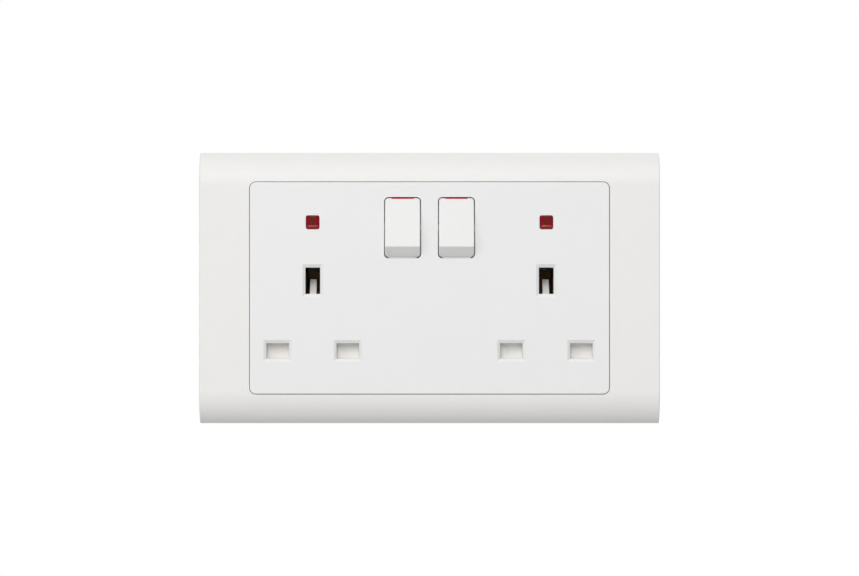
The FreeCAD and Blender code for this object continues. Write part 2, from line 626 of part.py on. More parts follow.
WINDOW_TOP = "(earth_level - earth_slot_height / 2 - tongue_foot - shutter_window_top)"
WINDOW_FOOT = f"({WINDOW_TOP} - shutter_window_length)"
PEG_TOP = f"({WINDOW_FOOT} + shutter_play + peg_height)"
OPEN_FOOT = f"({ROCKER_LEVEL} - rocker_open_height / 2)"
DRAFT_WIDTH = "(rocker_open_width - 2 * rocker_corner - draft_inset)"
BEARING = "(rocker_open_width / 2 + bearing_rib)"
for side, sign in SIDES.items():
    switch = SWITCH[side]
    faceplate_cuts.append(around((switch, ROCKER_LEVEL), ("rocker_open_width / 2", "rocker_open_height / 2"),
                                 (f"{FACE} - past", f"{FRONT_BACK} + overlap"), f"{side}_opening",
                                 "rocker_open_corner"))
    draft = [(FACE, OPEN_FOOT), (FRONT_BACK, f"{OPEN_FOOT} - rocker_relief"),
             (FRONT_BACK, f"{OPEN_FOOT} + past"), (FACE, f"{OPEN_FOOT} + past")]
    faceplate_cuts.append(prism(f"{side}_opening_draft", "x", span(switch, DRAFT_WIDTH), draft))
    for end in SIDES.values():
        near = f"{switch} + {end} * rocker_open_width / 2"
        far = f"{switch} + {end} * {BEARING}"
        faceplate_parts.append(block(f"{side}_bearing_rib_{end}", (near, far) if end > 0 else (far, near),
                                     (f"{FRONT_BACK} - overlap", f"{FRONT_BACK} + bearing_rib_depth"),
                                     span(ROCKER_LEVEL, "bearing_rib_height")))
    faceplate_cuts.append(rod(f"{side}_bearing", "x",
                              (f"{switch} - {BEARING} - nudge", f"{switch} + {BEARING} + nudge"),
                              (PIVOT, ROCKER_LEVEL), "trunnion_radius + bearing_play"))
    faceplate_cuts.append(around((SOCKET[side], LENS_LEVEL),
                                 ("lens_width / 2 + lens_gap", "lens_height / 2 + lens_gap"),
                                 (f"{FACE} - past", f"{FRONT_BACK} + past"), f"{side}_lens_window",
                                 "lens_corner + lens_gap"))
    faceplate_parts.append(block(f"{side}_spring_peg", span(SOCKET[side], "peg_width"),
                                 (f"{FRONT_BACK} - overlap", SHUTTER_BACK),
                                 (f"{PEG_TOP} - peg_height", PEG_TOP)))
    fixing = f"({sign} * {FIXING})"
    flat = "(fixing_slot_length - fixing_slot_height)"
    faceplate_cuts.append(block(f"{side}_fixing_slot", span(fixing, flat), (f"{SEAT} - past", "past"),
                                span("0", "fixing_slot_height")))
    for end in SIDES.values():
        faceplate_cuts.append(rod(f"{side}_fixing_end_{end}", "y", (f"{SEAT} - past", "past"),
                                  (f"{fixing} + {end} * {flat} / 2", "0"), "fixing_slot_height / 2"))

for index, (x, z) in enumerate(CASE_SCREWS):
    faceplate_parts.append(rod(f"face_boss_{index}", "y", (f"{FRONT_BACK} - overlap", "0"), (x, z),
                               "case_boss"))
    faceplate_cuts.append(rod(f"face_pilot_{index}", "y",
                              ("-(case_screw_reach + pilot_spare)", "past"), (x, z),
                              "case_screw_radius + case_screw_play"))

faceplate_solid = carve("faceplate_solid", join("faceplate_body", *faceplate_parts), *faceplate_cuts)


def on_face(edge):
    """Edges that lie in the insert's face."""
    return edge.BoundBox.YLength < 1e-6 and abs(edge.BoundBox.Center.y - number(FACE)) < 1e-6


def on_insert_rim(edge):
    """The outline of the insert's face."""
    middle = edge.BoundBox.Center
    return on_face(edge) and (abs(middle.x) > number(f"{INSERT[0]} - insert_corner")
                              or abs(middle.z) > number(f"{INSERT[1]} - insert_corner"))


piece("socket_faceplate", finish("faceplate_finish", faceplate_solid,
                                 ("Fillet", on_insert_rim, ["insert_round"])))

# The rear housing: a tray with towers round the contacts and the lamps.

LAMP_FRONT = f"({FRONT_BACK} + lens_flange_thickness + lamp_air)"
LAMP_END = f"({LAMP_FRONT} + lamp_length)"
TONGUE_BACK = f"({SHUTTER_FRONT} + tongue_run + tongue_tip)"
INTO_FLOOR = f"({FLOOR} + housing_back / 2)"
BUTTON_LEVEL = f"({ROCKER_LEVEL} + lever_reach)"
RISER = {"left": LIVE_PIN["left"], "right": NEUTRAL_PIN["right"]}
LEAD_DROP = f"({RISER['right']} + strip_width / 2 + lead_gap)"

tray = carve("housing_tray", panel("housing_block", HOUSING, ("0", BACK), "housing_corner"),
             panel("housing_void", HOUSING_IN, ("-past", FLOOR), "housing_corner / 2"))
spigot = carve("housing_spigot",
               panel("spigot_block", SPIGOT, ("-spigot_depth", "spigot_depth"), "housing_corner / 3"),
               panel("spigot_void", [f"({half} - spigot_wall)" for half in SPIGOT],
                     ("-2 * spigot_depth", "2 * spigot_depth"),
                     "housing_corner / 4"))
housing_parts = [tray, spigot]
housing_cuts = []
LINE_TOWERS = {
    "left_neutral": (NEUTRAL_PIN["left"], NEUTRAL),
    "left_live": (LIVE_PIN["left"], LIVE),
    "right_neutral": (NEUTRAL_PIN["right"], NEUTRAL),
    "right_live": (LIVE_PIN["right"], LIVE),
}
for name, (x, level) in LINE_TOWERS.items():
    outer = tuple(f"({half} + tower_wall)" for half in LINE_HALF)
    web = f"({level} + brass_sheet)"
    housing_parts.append(around((x, LINE_LEVEL), outer, (TOWER_FRONT, INTO_FLOOR), f"{name}_tower"))
    housing_cuts.append(around((x, LINE_LEVEL), LINE_HALF, (f"{TOWER_FRONT} - past", web), f"{name}_pocket"))
    housing_cuts.append(block(f"{name}_notch", span(x, "strip_width + 2 * notch_air"),
                              (f"{TOWER_FRONT} - past", web),
                              (LINE_LEVEL, f"{LINE_LEVEL} + {outer[1]} + overlap")))

for side, sign in SIDES.items():
    middle = (SOCKET[side], "earth_level")
    outer = tuple(f"({half} + tower_wall)" for half in EARTH_HALF)
    web = f"({EARTH} + brass_sheet)"
    housing_parts.append(around(middle, outer, (TOWER_FRONT, INTO_FLOOR), f"{side}_earth_tower"))
    housing_cuts.append(around(middle, EARTH_HALF, (f"{TOWER_FRONT} - past", web), f"{side}_earth_pocket"))
    inward = (SOCKET[side], f"{SOCKET[side]} - {sign} * ({outer[0]} + overlap)")
    housing_cuts.append(block(f"{side}_earth_notch", inward if sign < 0 else inward[::-1],
                              (f"{TOWER_FRONT} - past", web),
                              span("earth_level", "earth_bar + 2 * notch_air")))
    housing_cuts.append(block(f"{side}_ramp_notch", span(SOCKET[side], "tongue_width + 2 * notch_air"),
                              (f"{TOWER_FRONT} - past", f"{TONGUE_BACK} + notch_air"),
                              (f"earth_level - {outer[1]} - overlap", "earth_level")))
    lamp = (SOCKET[side], LENS_LEVEL)
    housing_parts.append(around(lamp, ("lamp_tower / 2", "lamp_tower / 2"),
                                (f"{FRONT_BACK} + lens_flange_thickness + shutter_play", INTO_FLOOR),
                                f"{side}_lamp_tower"))
    housing_cuts.append(rod(f"{side}_lamp_bore", "y",
                            (f"{LAMP_FRONT} - past", f"{LAMP_END} + lamp_air"), lamp,
                            "lamp_radius + lamp_air"))
    inward = (f"{SOCKET[side]} + {sign} * past", f"{SOCKET[side]} - {sign} * (lamp_tower / 2 + overlap)")
    housing_cuts.append(block(f"{side}_lead_channel", inward if sign < 0 else inward[::-1],
                              (LAMP_END, f"{NEUTRAL} + brass_sheet + overlap"),
                              span(LENS_LEVEL, "2 * lead_channel")))
    housing_parts.append(block(f"{side}_lever_stop", span(SWITCH[side], "post"),
                               (f"{LEVER} + lever_thickness / 2 + (lever_reach + lever_end) * {TILT_SINE}"
                                " + lever_stop_gap", INTO_FLOOR),
                               (f"{ROCKER_LEVEL} - lever_reach - lever_end",
                                f"{ROCKER_LEVEL} - lever_reach")))
    housing_parts.append(block(f"{side}_strip_post", span(RISER[side], "post"),
                               (f"{LIVE} + brass_sheet", INTO_FLOOR),
                               span(f"({ROCKER_LEVEL} - lever_reach)", "post")))
    housing_parts.append(block(f"{side}_earth_post", span(f"({sign} * socket_pitch / 4)", "post"),
                               (f"{EARTH} + brass_sheet", INTO_FLOOR), span("earth_level", "post")))

housing_parts.append(block("live_post", span("0", "post"), (f"{LIVE} + brass_sheet", INTO_FLOOR),
                           span(ROCKER_LEVEL, "post")))
for index, x in enumerate((SOCKET["left"], "(2 * terminal_pitch)")):
    housing_parts.append(block(f"neutral_post_{index}", span(x, "post"),
                               (f"{NEUTRAL} + brass_sheet", INTO_FLOOR), span(NEUTRAL_LEVEL, "post")))
for index in range(-2, 3):
    housing_parts.append(block(f"terminal_rib_{index}", span(f"({index} * terminal_pitch)", "terminal_rib"),
                               (f"{FLOOR} - terminal_rib_depth", INTO_FLOOR),
                               (f"-({HOUSING_IN[1]} + housing_wall / 2)", TERMINAL_TOP)))
for name, (x, level) in TERMINALS.items():
    housing_cuts.append(rod(f"{name}_entry", "z",
                            (f"-({HOUSING[1]} + past)", f"-({HOUSING_IN[1]} - nudge / 2)"),
                            (x, f"{FLOOR} - terminal_bore_back"), "wire_entry"))
    housing_cuts.append(rod(f"{name}_screw_hole", "y", (f"{FLOOR} - nudge / 2", f"{BACK} + past"),
                            (x, f"{TERMINAL_FOOT} + terminal_screw_level"), "terminal_screw_hole"))
for index, (x, z) in enumerate(CASE_SCREWS):
    housing_parts.append(rod(f"rear_boss_{index}", "y", ("0", INTO_FLOOR), (x, z), "case_boss"))
    housing_cuts.append(rod(f"rear_hole_{index}", "y", ("-past", f"{BACK} + past"), (x, z),
                            "case_screw_radius + case_screw_play"))
    housing_cuts.append(rod(f"rear_recess_{index}", "y", (f"{BACK} - case_screw_sink", f"{BACK} + past"),
                            (x, z), "case_screw_head + case_recess_gap"))
piece("rear_housing", carve("housing_solid", join("housing_body", *housing_parts), *housing_cuts))

# The screws, each kind one group of separate solids.

fixing_screws = []
for side, sign in SIDES.items():
    seat = f"({SEAT} - fixing_head_height)"
    fixing_screws.append(slotted_screw(f"{side}_fixing_screw", f"({sign} * {FIXING})", "0",
                                       [((SEAT, "0"), "fixing_neck"),
                                        (("0", "fixing_length"), "fixing_radius")],
                                       (seat, SEAT), "fixing_head",
                                       (f"{seat} - past", f"{seat} + fixing_drive")))
piece("fixing_screws", group("fixing_screw_pair", *fixing_screws))

case_screws = []
for index, (x, z) in enumerate(CASE_SCREWS):
    seat = f"({BACK} - case_screw_sink)"
    top = f"({seat} + case_screw_head_height)"
    solid = join(f"case_screw_{index}_solid",
                 rod(f"case_head_{index}", "y", (seat, top), (x, z), "case_screw_head"),
                 rod(f"case_shank_{index}", "y", ("-case_screw_reach", seat), (x, z), "case_screw_radius"))
    recess = (f"{top} - drive_depth", f"{top} + past")
    case_screws.append(carve(f"case_screw_{index}", solid,
                             block(f"case_cross_a_{index}", span(x, "2.6"), recess, span(z, "0.6")),
                             block(f"case_cross_b_{index}", span(x, "0.6"), recess, span(z, "2.6"))))
piece("case_screws", group("case_screw_set", *case_screws))

terminal_screws = []
for name, (x, level) in TERMINALS.items():
    seat = f"({FLOOR} + terminal_screw_lift)"
    top = f"({seat} + terminal_screw_head_height)"
    tip = f"{FLOOR} - terminal_bore_back + terminal_bore + terminal_screw_tip"
    terminal_screws.append(slotted_screw(f"{name}_terminal_screw", x,
                                         f"({TERMINAL_FOOT} + terminal_screw_level)",
                                         [((tip, seat), "terminal_screw_radius")], (seat, top),
                                         "terminal_screw_head", (f"{top} - drive_depth", f"{top} + past")))
piece("terminal_screws", group("terminal_screw_set", *terminal_screws))

# The terminal blocks: a blind wire bore from below, a screw hole from behind, a slot for the leg.

for name, (x, level) in TERMINALS.items():
    body = block(f"{name}_block", span(x, "terminal_width"), (f"{FLOOR} - terminal_depth", FLOOR),
                 (TERMINAL_FOOT, TERMINAL_TOP))
    bore = rod(f"{name}_bore", "z", (f"{TERMINAL_FOOT} - past", f"{TERMINAL_FOOT} + terminal_bore_depth"),
               (x, f"{FLOOR} - terminal_bore_back"), "terminal_bore")
    thread = rod(f"{name}_thread", "y", (f"{FLOOR} - terminal_bore_back", f"{FLOOR} + past"),
                 (x, f"{TERMINAL_FOOT} + terminal_screw_level"),
                 "terminal_screw_radius + terminal_screw_play")
    slot = block(f"{name}_leg_slot", span(x, "leg_width + 2 * terminal_play"),
                 (f"{level} - terminal_play", f"{level} + brass_sheet + terminal_play"),
                 (f"{TERMINAL_TOP} - terminal_tongue - terminal_play", f"{TERMINAL_TOP} + past"))
    piece(f"{name}_terminal", carve(f"{name}_terminal_block", body, bore, thread, slot))

# The brass: flat strips on three layers, with clips folded forward round the pins.

def clip_profile(middle, level):
    """A U of two leaves with a flared mouth, as places in depth and across, anticlockwise."""
    mouth = f"({TOWER_FRONT} + leaf_start)"
    throat = f"({mouth} + leaf_mouth)"
    back = f"({level} + brass_sheet)"
    inner = "pin_grip / 2"
    outer = "(pin_grip / 2 + leaf)"
    half = [(back, outer), (throat, outer), (mouth, f"{outer} + leaf_flare"),
            (mouth, f"{inner} + leaf_flare"),
            (throat, inner), (level, inner)]
    upper = [(depth, f"{middle} + {across}") for depth, across in half]
    lower = [(depth, f"{middle} - ({across})") for depth, across in reversed(half)]
    return upper + lower


def line_clip(name, x, level):
    """A clip for a line pin, with leaves above and below it."""
    return prism(name, "x", span(x, "line_leaf_width"), clip_profile(LINE_LEVEL, level))


def layer(level):
    """The two faces of a brass layer."""
    return level, f"{level} + brass_sheet"


earth_parts = [block("earth_bar_strip", both("socket_pitch / 2 + pin_grip / 2 + leaf"), layer(EARTH),
                     span("earth_level", "earth_bar"))]
for side in SIDES:
    profile = [(across, depth) for depth, across in reversed(clip_profile(SOCKET[side], EARTH))]
    earth_parts.append(prism(f"{side}_earth_clip", "z", span("earth_level", "earth_leaf_height"), profile))
    earth_parts.append(block(f"{side}_earth_leg", span(TERMINALS[f"{side}_earth"][0], "leg_width"),
                             layer(EARTH),
                             (f"{TERMINAL_TOP} - terminal_tongue", "earth_level")))
piece("earth_strap", join("earth_strap_solid", *earth_parts))

neutral_parts = [
    block("neutral_strip", (f"{NEUTRAL_PIN['left']} - strip_width / 2", f"{LEAD_DROP} + strip_width / 2"),
          layer(NEUTRAL), span(NEUTRAL_LEVEL, "strip_width")),
    block("neutral_leg", span(TERMINALS["neutral"][0], "leg_width"), layer(NEUTRAL),
          (f"{TERMINAL_TOP} - terminal_tongue", NEUTRAL_LEVEL)),
]
for side in SIDES:
    neutral_parts.append(line_clip(f"{side}_neutral_clip", NEUTRAL_PIN[side], NEUTRAL))
    neutral_parts.append(block(f"{side}_neutral_drop", span(NEUTRAL_PIN[side], "strip_width"),
                               layer(NEUTRAL),
                               (LINE_LEVEL, NEUTRAL_LEVEL)))
piece("neutral_bar", join("neutral_bar_solid", *neutral_parts))

EAR_IN = "(lever_width / 2 + saddle_gap)"
EAR_OUT = f"({EAR_IN} + brass_sheet)"
live_x = TERMINALS["live"][0]
live_parts = [
    block("live_strip", (f"{SWITCH['left']} - {EAR_OUT}", f"{live_x} + strip_width / 2"), layer(LIVE),
          span(ROCKER_LEVEL, "saddle_height")),
    block("live_riser", span(live_x, "strip_width"), layer(LIVE), (NEUTRAL_LEVEL, ROCKER_LEVEL)),
    block("live_leg", span(live_x, "leg_width"), layer(LIVE),
          (f"{TERMINAL_TOP} - terminal_tongue", NEUTRAL_LEVEL)),
]
for side, switch in SWITCH.items():
    for end in SIDES.values():
        near = f"{switch} + {end} * {EAR_IN}"
        far = f"{switch} + {end} * {EAR_OUT}"
        live_parts.append(block(f"{side}_ear_{end}", (near, far) if end > 0 else (far, near),
                                (f"{LEVER} - saddle_lip", f"{LIVE} + brass_sheet"),
                                span(ROCKER_LEVEL, "saddle_height")))
live_cuts = [rod(f"{side}_saddle_hole", "x",
                 (f"{switch} - {EAR_OUT} - past", f"{switch} + {EAR_OUT} + past"),
                 (LEVER, ROCKER_LEVEL), "lever_pin + bearing_play")
             for side, switch in SWITCH.items()]
piece("live_bar", carve("live_bar_solid", join("live_bar_body", *live_parts), *live_cuts))

RISER_TOP = f"({BUTTON_LEVEL} + strip_width / 2)"
piece("left_switched_live", join(
    "left_switched_solid",
    line_clip("left_live_clip", LIVE_PIN["left"], LIVE),
    block("left_riser", span(RISER["left"], "strip_width"), layer(LIVE), (LINE_LEVEL, RISER_TOP)),
    block("left_arm", (f"{RISER['left']} - strip_width / 2", f"{SWITCH['left']} + strip_width / 2"),
          layer(LIVE),
          span(BUTTON_LEVEL, "strip_width"))))
piece("right_switched_live", join(
    "right_switched_solid",
    line_clip("right_live_clip", LIVE_PIN["right"], LIVE),
    block("right_riser", span(RISER["right"], "strip_width"), layer(LIVE),
          (f"{CROSSING_LEVEL} - crossing_height / 2", RISER_TOP)),
    block("right_crossing",
          (f"{RISER['right']} - strip_width / 2", f"{LIVE_PIN['right']} + strip_width / 2"),
          layer(LIVE), span(CROSSING_LEVEL, "crossing_height")),
    block("right_drop", span(LIVE_PIN["right"], "strip_width"), layer(LIVE), (LINE_LEVEL, CROSSING_LEVEL)),
    block("right_arm", (f"{SWITCH['right']} - strip_width / 2", f"{RISER['right']} + strip_width / 2"),
          layer(LIVE), span(BUTTON_LEVEL, "strip_width"))))

# The switches: rocker, red flash, plunger with its spring, lever and contact buttons, all at rest in OFF.

def leaning_block(name, x, pivot, lean, y, z):
    """A box in a frame that leans about X at a pivot."""
    box = doc.addObject("Part::Box", name)
    box.Placement = Placement(Vector(), Rotation(Vector(1, 0, 0), 10))
    for size, (low, high) in (("Length", x), ("Width", y), ("Height", z)):
        box.setExpression(size, formula(f"({high}) - ({low})"))
    cosine = f"cos(({lean}) * 1deg)"
    sine = f"sin(({lean}) * 1deg)"
    box.setExpression("Placement.Rotation.Angle", formula(lean))
    box.setExpression("Placement.Base.x", formula(x[0]))
    box.setExpression("Placement.Base.y", formula(f"{pivot[0]} + ({y[0]}) * {cosine} - ({z[0]}) * {sine}"))
    box.setExpression("Placement.Base.z", formula(f"{pivot[1]} + ({y[0]}) * {sine} + ({z[0]}) * {cosine}"))
    return box


def ball(name, x, y, z, radius):
    """A sphere at a place."""
    sphere = doc.addObject("Part::Sphere", name)
    sphere.setExpression("Radius", formula(radius))
    for axis, place in (("x", x), ("y", y), ("z", z)):
        sphere.setExpression(f"Placement.Base.{axis}", formula(place))
    return sphere


def coil(name, place, turn, length, radius, wire, pitch):
    """A round-wire compression spring from a place, along Z turned about X."""
    body = doc.addObject("PartDesign::Body", name)
    sketch = body.newObject("Sketcher::SketchObject", f"{name}_wire")
    sketch.AttachmentSupport = (plane_of(body, "XZ_Plane"), [""])
    sketch.MapMode = "FlatFace"
    middle = Vector(number(radius), number(wire), 0)
    sketch.addGeometry(Part.Circle(middle, Vector(0, 0, 1), number(wire) / 2))
    pin_point(sketch, 0, 3, radius, f"{wire} / 2")
    index = sketch.addConstraint(Sketcher.Constraint("Radius", 0, number(wire) / 2))
    sketch.setExpression(f"Constraints[{index}]", formula(f"{wire} / 2"))
    helix = body.newObject("PartDesign::AdditiveHelix", f"{name}_helix")
    helix.Profile = sketch
    helix.ReferenceAxis = (sketch, ["V_Axis"])
    helix.Mode = 0
    helix.setExpression("Pitch", formula(pitch))
    helix.setExpression("Height", formula(f"({length}) - {wire}"))
    body.Placement = Placement(Vector(), Rotation(Vector(1, 0, 0), 10))
    body.setExpression("Placement.Rotation.Angle", formula(turn))
    for axis, value in zip("xyz", place):
        body.setExpression(f"Placement.Base.{axis}", formula(value))
    return body


ROCKER_HALF = "(rocker_open_height / 2 - rocker_gap)"
ROCKER_WIDTH = "(rocker_open_width - 2 * rocker_gap)"
ROCKER_TOP = f"({ROCKER_LEVEL} + {ROCKER_HALF})"
ROCKER_FOOT = f"({OPEN_FOOT} + rocker_foot_gap)"
RIDGE_LEVEL = f"({OPEN_FOOT} + rocker_ridge)"
SKIRT_BACK = f"({FACE} + rocker_skirt)"
PLUNGER_REACH = f"({LEVER} - lever_thickness / 2 - plunger_play - {PIVOT})"
OUTER_SECTION = [
    (SKIRT_BACK, f"{ROCKER_TOP} - rocker_gap"),
    (f"{FACE} + rocker_sink", ROCKER_TOP),
    (f"{FACE} - rocker_rise", RIDGE_LEVEL),
    (f"{FACE} + rocker_foot_sink", ROCKER_FOOT),
    (SKIRT_BACK, f"{ROCKER_FOOT} + rocker_gap"),
]
INNER_SECTION = [
    (f"{SKIRT_BACK} + nudge", f"{ROCKER_TOP} - rocker_wall"),
    (f"{FACE} + rocker_sink + rocker_wall", f"{ROCKER_TOP} - rocker_wall"),
    (f"{FACE} - rocker_rise + ridge_wall", f"{RIDGE_LEVEL} + nudge"),
    (f"{FACE} + rocker_foot_sink + foot_wall", f"{ROCKER_FOOT} + rocker_wall"),
    (f"{SKIRT_BACK} + nudge", f"{ROCKER_FOOT} + rocker_wall"),
]


def on_rocker_front(edge):
    """Edges of the rocker that show from the front."""
    box = edge.BoundBox
    return box.YMin < number(f"{FACE} + rocker_sink") - 1e-4 or \
        (abs(box.YMax - number(f"{FACE} + rocker_sink")) < 1e-4 and box.ZMax > number(ROCKER_LEVEL))


for side, switch in SWITCH.items():
    pivot = (PIVOT, ROCKER_LEVEL)
    outside = doc.addObject("Part::Common", f"{side}_rocker_outside")
    outside.Base = prism(f"{side}_rocker_section", "x", span(switch, ROCKER_WIDTH), OUTER_SECTION)
    outside.Tool = prism(f"{side}_rocker_outline", "y",
                         (f"{FACE} - rocker_rise - past", f"{SKIRT_BACK} + past"),
                         rectangle(span(switch, ROCKER_WIDTH), (ROCKER_FOOT, ROCKER_TOP)),
                         rounding="rocker_corner")
    outside.Refine = True
    skin = finish(f"{side}_rocker_skin", outside, ("Fillet", on_rocker_front, ["rocker_round"]))
    inside = prism(f"{side}_rocker_inside", "x", span(switch, f"{ROCKER_WIDTH} - 2 * rocker_wall"),
                   INNER_SECTION)
    flash_room = block(f"{side}_flash_room", span(switch, "flash_width"),
                       (f"{FACE} - past", f"{FACE} + rocker_sink + flash_depth"),
                       (f"{ROCKER_TOP} - flash_thickness", f"{ROCKER_TOP} + past"))
    flash = doc.addObject("Part::Common", f"{side}_flash_solid")
    flash.Base = skin
    flash.Tool = flash_room
    piece(f"{side}_on_flash", flash)
    half = f"({ROCKER_WIDTH} / 2 + trunnion_length)"
    cap = carve(f"{side}_rocker_cap", skin, inside, flash_room)
    rest = [rod(f"{side}_trunnion_{end}", "x",
                (f"{switch} + {ROCKER_WIDTH} / 2 - overlap", f"{switch} + {half}") if end > 0
                else (f"{switch} - {half}", f"{switch} - {ROCKER_WIDTH} / 2 + overlap"),
                pivot, "trunnion_radius")
            for end in SIDES.values()]
    rest.append(block(f"{side}_foot_lip", span(switch, f"{DRAFT_WIDTH} - 2 * lip_inset"),
                      (f"{FACE} + lip_sink", f"{FACE} + lip_sink + lip_depth"),
                      (f"{OPEN_FOOT} + lip_gap", f"{ROCKER_FOOT} + rocker_wall - overlap")))
    rest.append(leaning_rod(f"{side}_stem", switch, pivot, "-rocker_tilt",
                            ("-(rocker_pivot_depth + stem_root)", "stem_reach"), "0", "stem_radius"))
    bore = leaning_rod(f"{side}_stem_bore", switch, pivot, "-rocker_tilt",
                       ("plunger_spring_seat", "stem_reach + past"), "0", "plunger_radius + plunger_play")
    piece(f"{side}_rocker", carve(f"{side}_rocker_solid", join(f"{side}_rocker_body", cap, *rest), bore))

    nose = f"({PLUNGER_REACH} - plunger_radius)"
    piece(f"{side}_plunger", join(
        f"{side}_plunger_solid",
        leaning_rod(f"{side}_plunger_rod", switch, pivot, "-rocker_tilt", ("plunger_seat", nose), "0",
                    "plunger_radius"),
        ball(f"{side}_plunger_nose", switch, f"{PIVOT} + {nose} * {TILT_COSINE}",
             f"{ROCKER_LEVEL} - {nose} * {TILT_SINE}", "plunger_radius")))
    start = "(plunger_spring_seat + plunger_play / 2)"
    piece(f"{side}_plunger_spring", coil(
        f"{side}_plunger_coil",
        (switch, f"{PIVOT} + {start} * {TILT_COSINE}", f"{ROCKER_LEVEL} - {start} * {TILT_SINE}"),
        "-(90 + rocker_tilt)", "plunger_seat - plunger_spring_seat - plunger_play",
        "(plunger_radius - plunger_play - plunger_spring_wire / 2)", "plunger_spring_wire",
        "plunger_spring_pitch"))

    axis = (LEVER, ROCKER_LEVEL)
    piece(f"{side}_contact_lever", join(
        f"{side}_lever_solid",
        leaning_block(f"{side}_lever_strip", span(switch, "lever_width"), axis, "rocker_tilt",
                      both("lever_thickness / 2"), both("lever_reach + lever_end")),
        rod(f"{side}_lever_axle", "x", span(switch, f"2 * ({EAR_OUT} + lever_axle_end)"), axis,
            "lever_pin")))
    piece(f"{side}_moving_contact", leaning_rod(
        f"{side}_moving_button", switch, axis, "rocker_tilt",
        ("lever_thickness / 2", "lever_thickness / 2 + moving_button_height"), "lever_reach",
        "moving_button_radius"))
    piece(f"{side}_fixed_contact", rod(
        f"{side}_fixed_button", "y", (f"{LIVE} - fixed_button_height", LIVE), (switch, BUTTON_LEVEL),
        "fixed_button_radius"))

# The shutters: a bar behind both line slots, a stem, and a ramp that the earth pin pushes down.

SLOT_FOOT = "(earth_level - earth_slot_height / 2)"
STEM_TOP = f"({SLOT_FOOT} - tongue_foot)"
BAR = (f"({LINE_LEVEL} - line_slot_height / 2 - shutter_overlap_foot)",
       f"({LINE_LEVEL} + line_slot_height / 2 + shutter_overlap_top)")
SHUTTER = (SHUTTER_FRONT, SHUTTER_BACK)
RAMP = [
    (SHUTTER_FRONT, f"{STEM_TOP} - ramp_root"),
    (TONGUE_BACK, f"{STEM_TOP} - ramp_root"),
    (TONGUE_BACK, f"{SLOT_FOOT} + tongue_show"),
    (f"{SHUTTER_FRONT} + tongue_run", f"{SLOT_FOOT} + tongue_show"),
    (SHUTTER_FRONT, f"{SLOT_FOOT} + tongue_toe"),
]
for side, middle in SOCKET.items():
    bar = block(f"{side}_shutter_bar",
                span(middle, "pin_pitch + line_slot_width + 2 * shutter_overlap_side"), SHUTTER, BAR)
    stem = block(f"{side}_shutter_stem", span(middle, "shutter_stem"), SHUTTER,
                 (f"{BAR[1]} - past", STEM_TOP))
    ramp = prism(f"{side}_shutter_ramp", "x", span(middle, "tongue_width"), RAMP)
    opening = block(f"{side}_shutter_window", span(middle, "shutter_window"),
                    (f"{SHUTTER_FRONT} - past", f"{SHUTTER_BACK} + past"), (WINDOW_FOOT, WINDOW_TOP))
    plate = carve(f"{side}_shutter_plate", join(f"{side}_shutter_body", bar, stem), opening)
    piece(f"{side}_shutter", join(f"{side}_shutter_solid", plate, ramp))
    piece(f"{side}_shutter_spring", coil(
        f"{side}_shutter_coil",
        (middle, f"({SHUTTER_FRONT} + {SHUTTER_BACK}) / 2", f"{PEG_TOP} + nudge / 2"), "0",
        f"{WINDOW_TOP} - {PEG_TOP} - nudge", "shutter_spring_radius", "shutter_spring_wire",
        "shutter_spring_pitch"))

# The indicators: a red lens, the lamp behind it, its resistor and its neutral lead.

def route(name, points, radius, bend):
    """A round wire along straight runs with tangent bends.

    A bent route in space has no sketch plane of its own, so its shape is set directly.
    """
    places = [Vector(*[number(value) for value in point]) for point in points]
    edges = []
    last = places[0]
    for before, corner, after in zip(places, places[1:], places[2:]):
        back = (before - corner).normalize()
        ahead = (after - corner).normalize()
        entry = corner + back * number(bend)
        leave = corner + ahead * number(bend)
        centre = corner + (back + ahead) * number(bend)
        middle = centre + (corner - centre).normalize() * number(bend)
        edges.append(Part.makeLine(last, entry))
        edges.append(Part.Arc(entry, middle, leave).toShape())
        last = leave
    edges.append(Part.makeLine(last, places[-1]))
    path = Part.Wire(edges)
    ring = Part.Wire([Part.makeCircle(number(radius), places[0], places[1] - places[0])])
    feature = doc.addObject("Part::Feature", name)
    feature.Shape = path.makePipeShell([ring], True, True)
    return feature


def on_lens_front(edge):
    """The outline of a lens's front face."""
    box = edge.BoundBox
    return box.YLength < 1e-6 and abs(box.Center.y - number(f"{FACE} - lens_rise")) < 1e-6


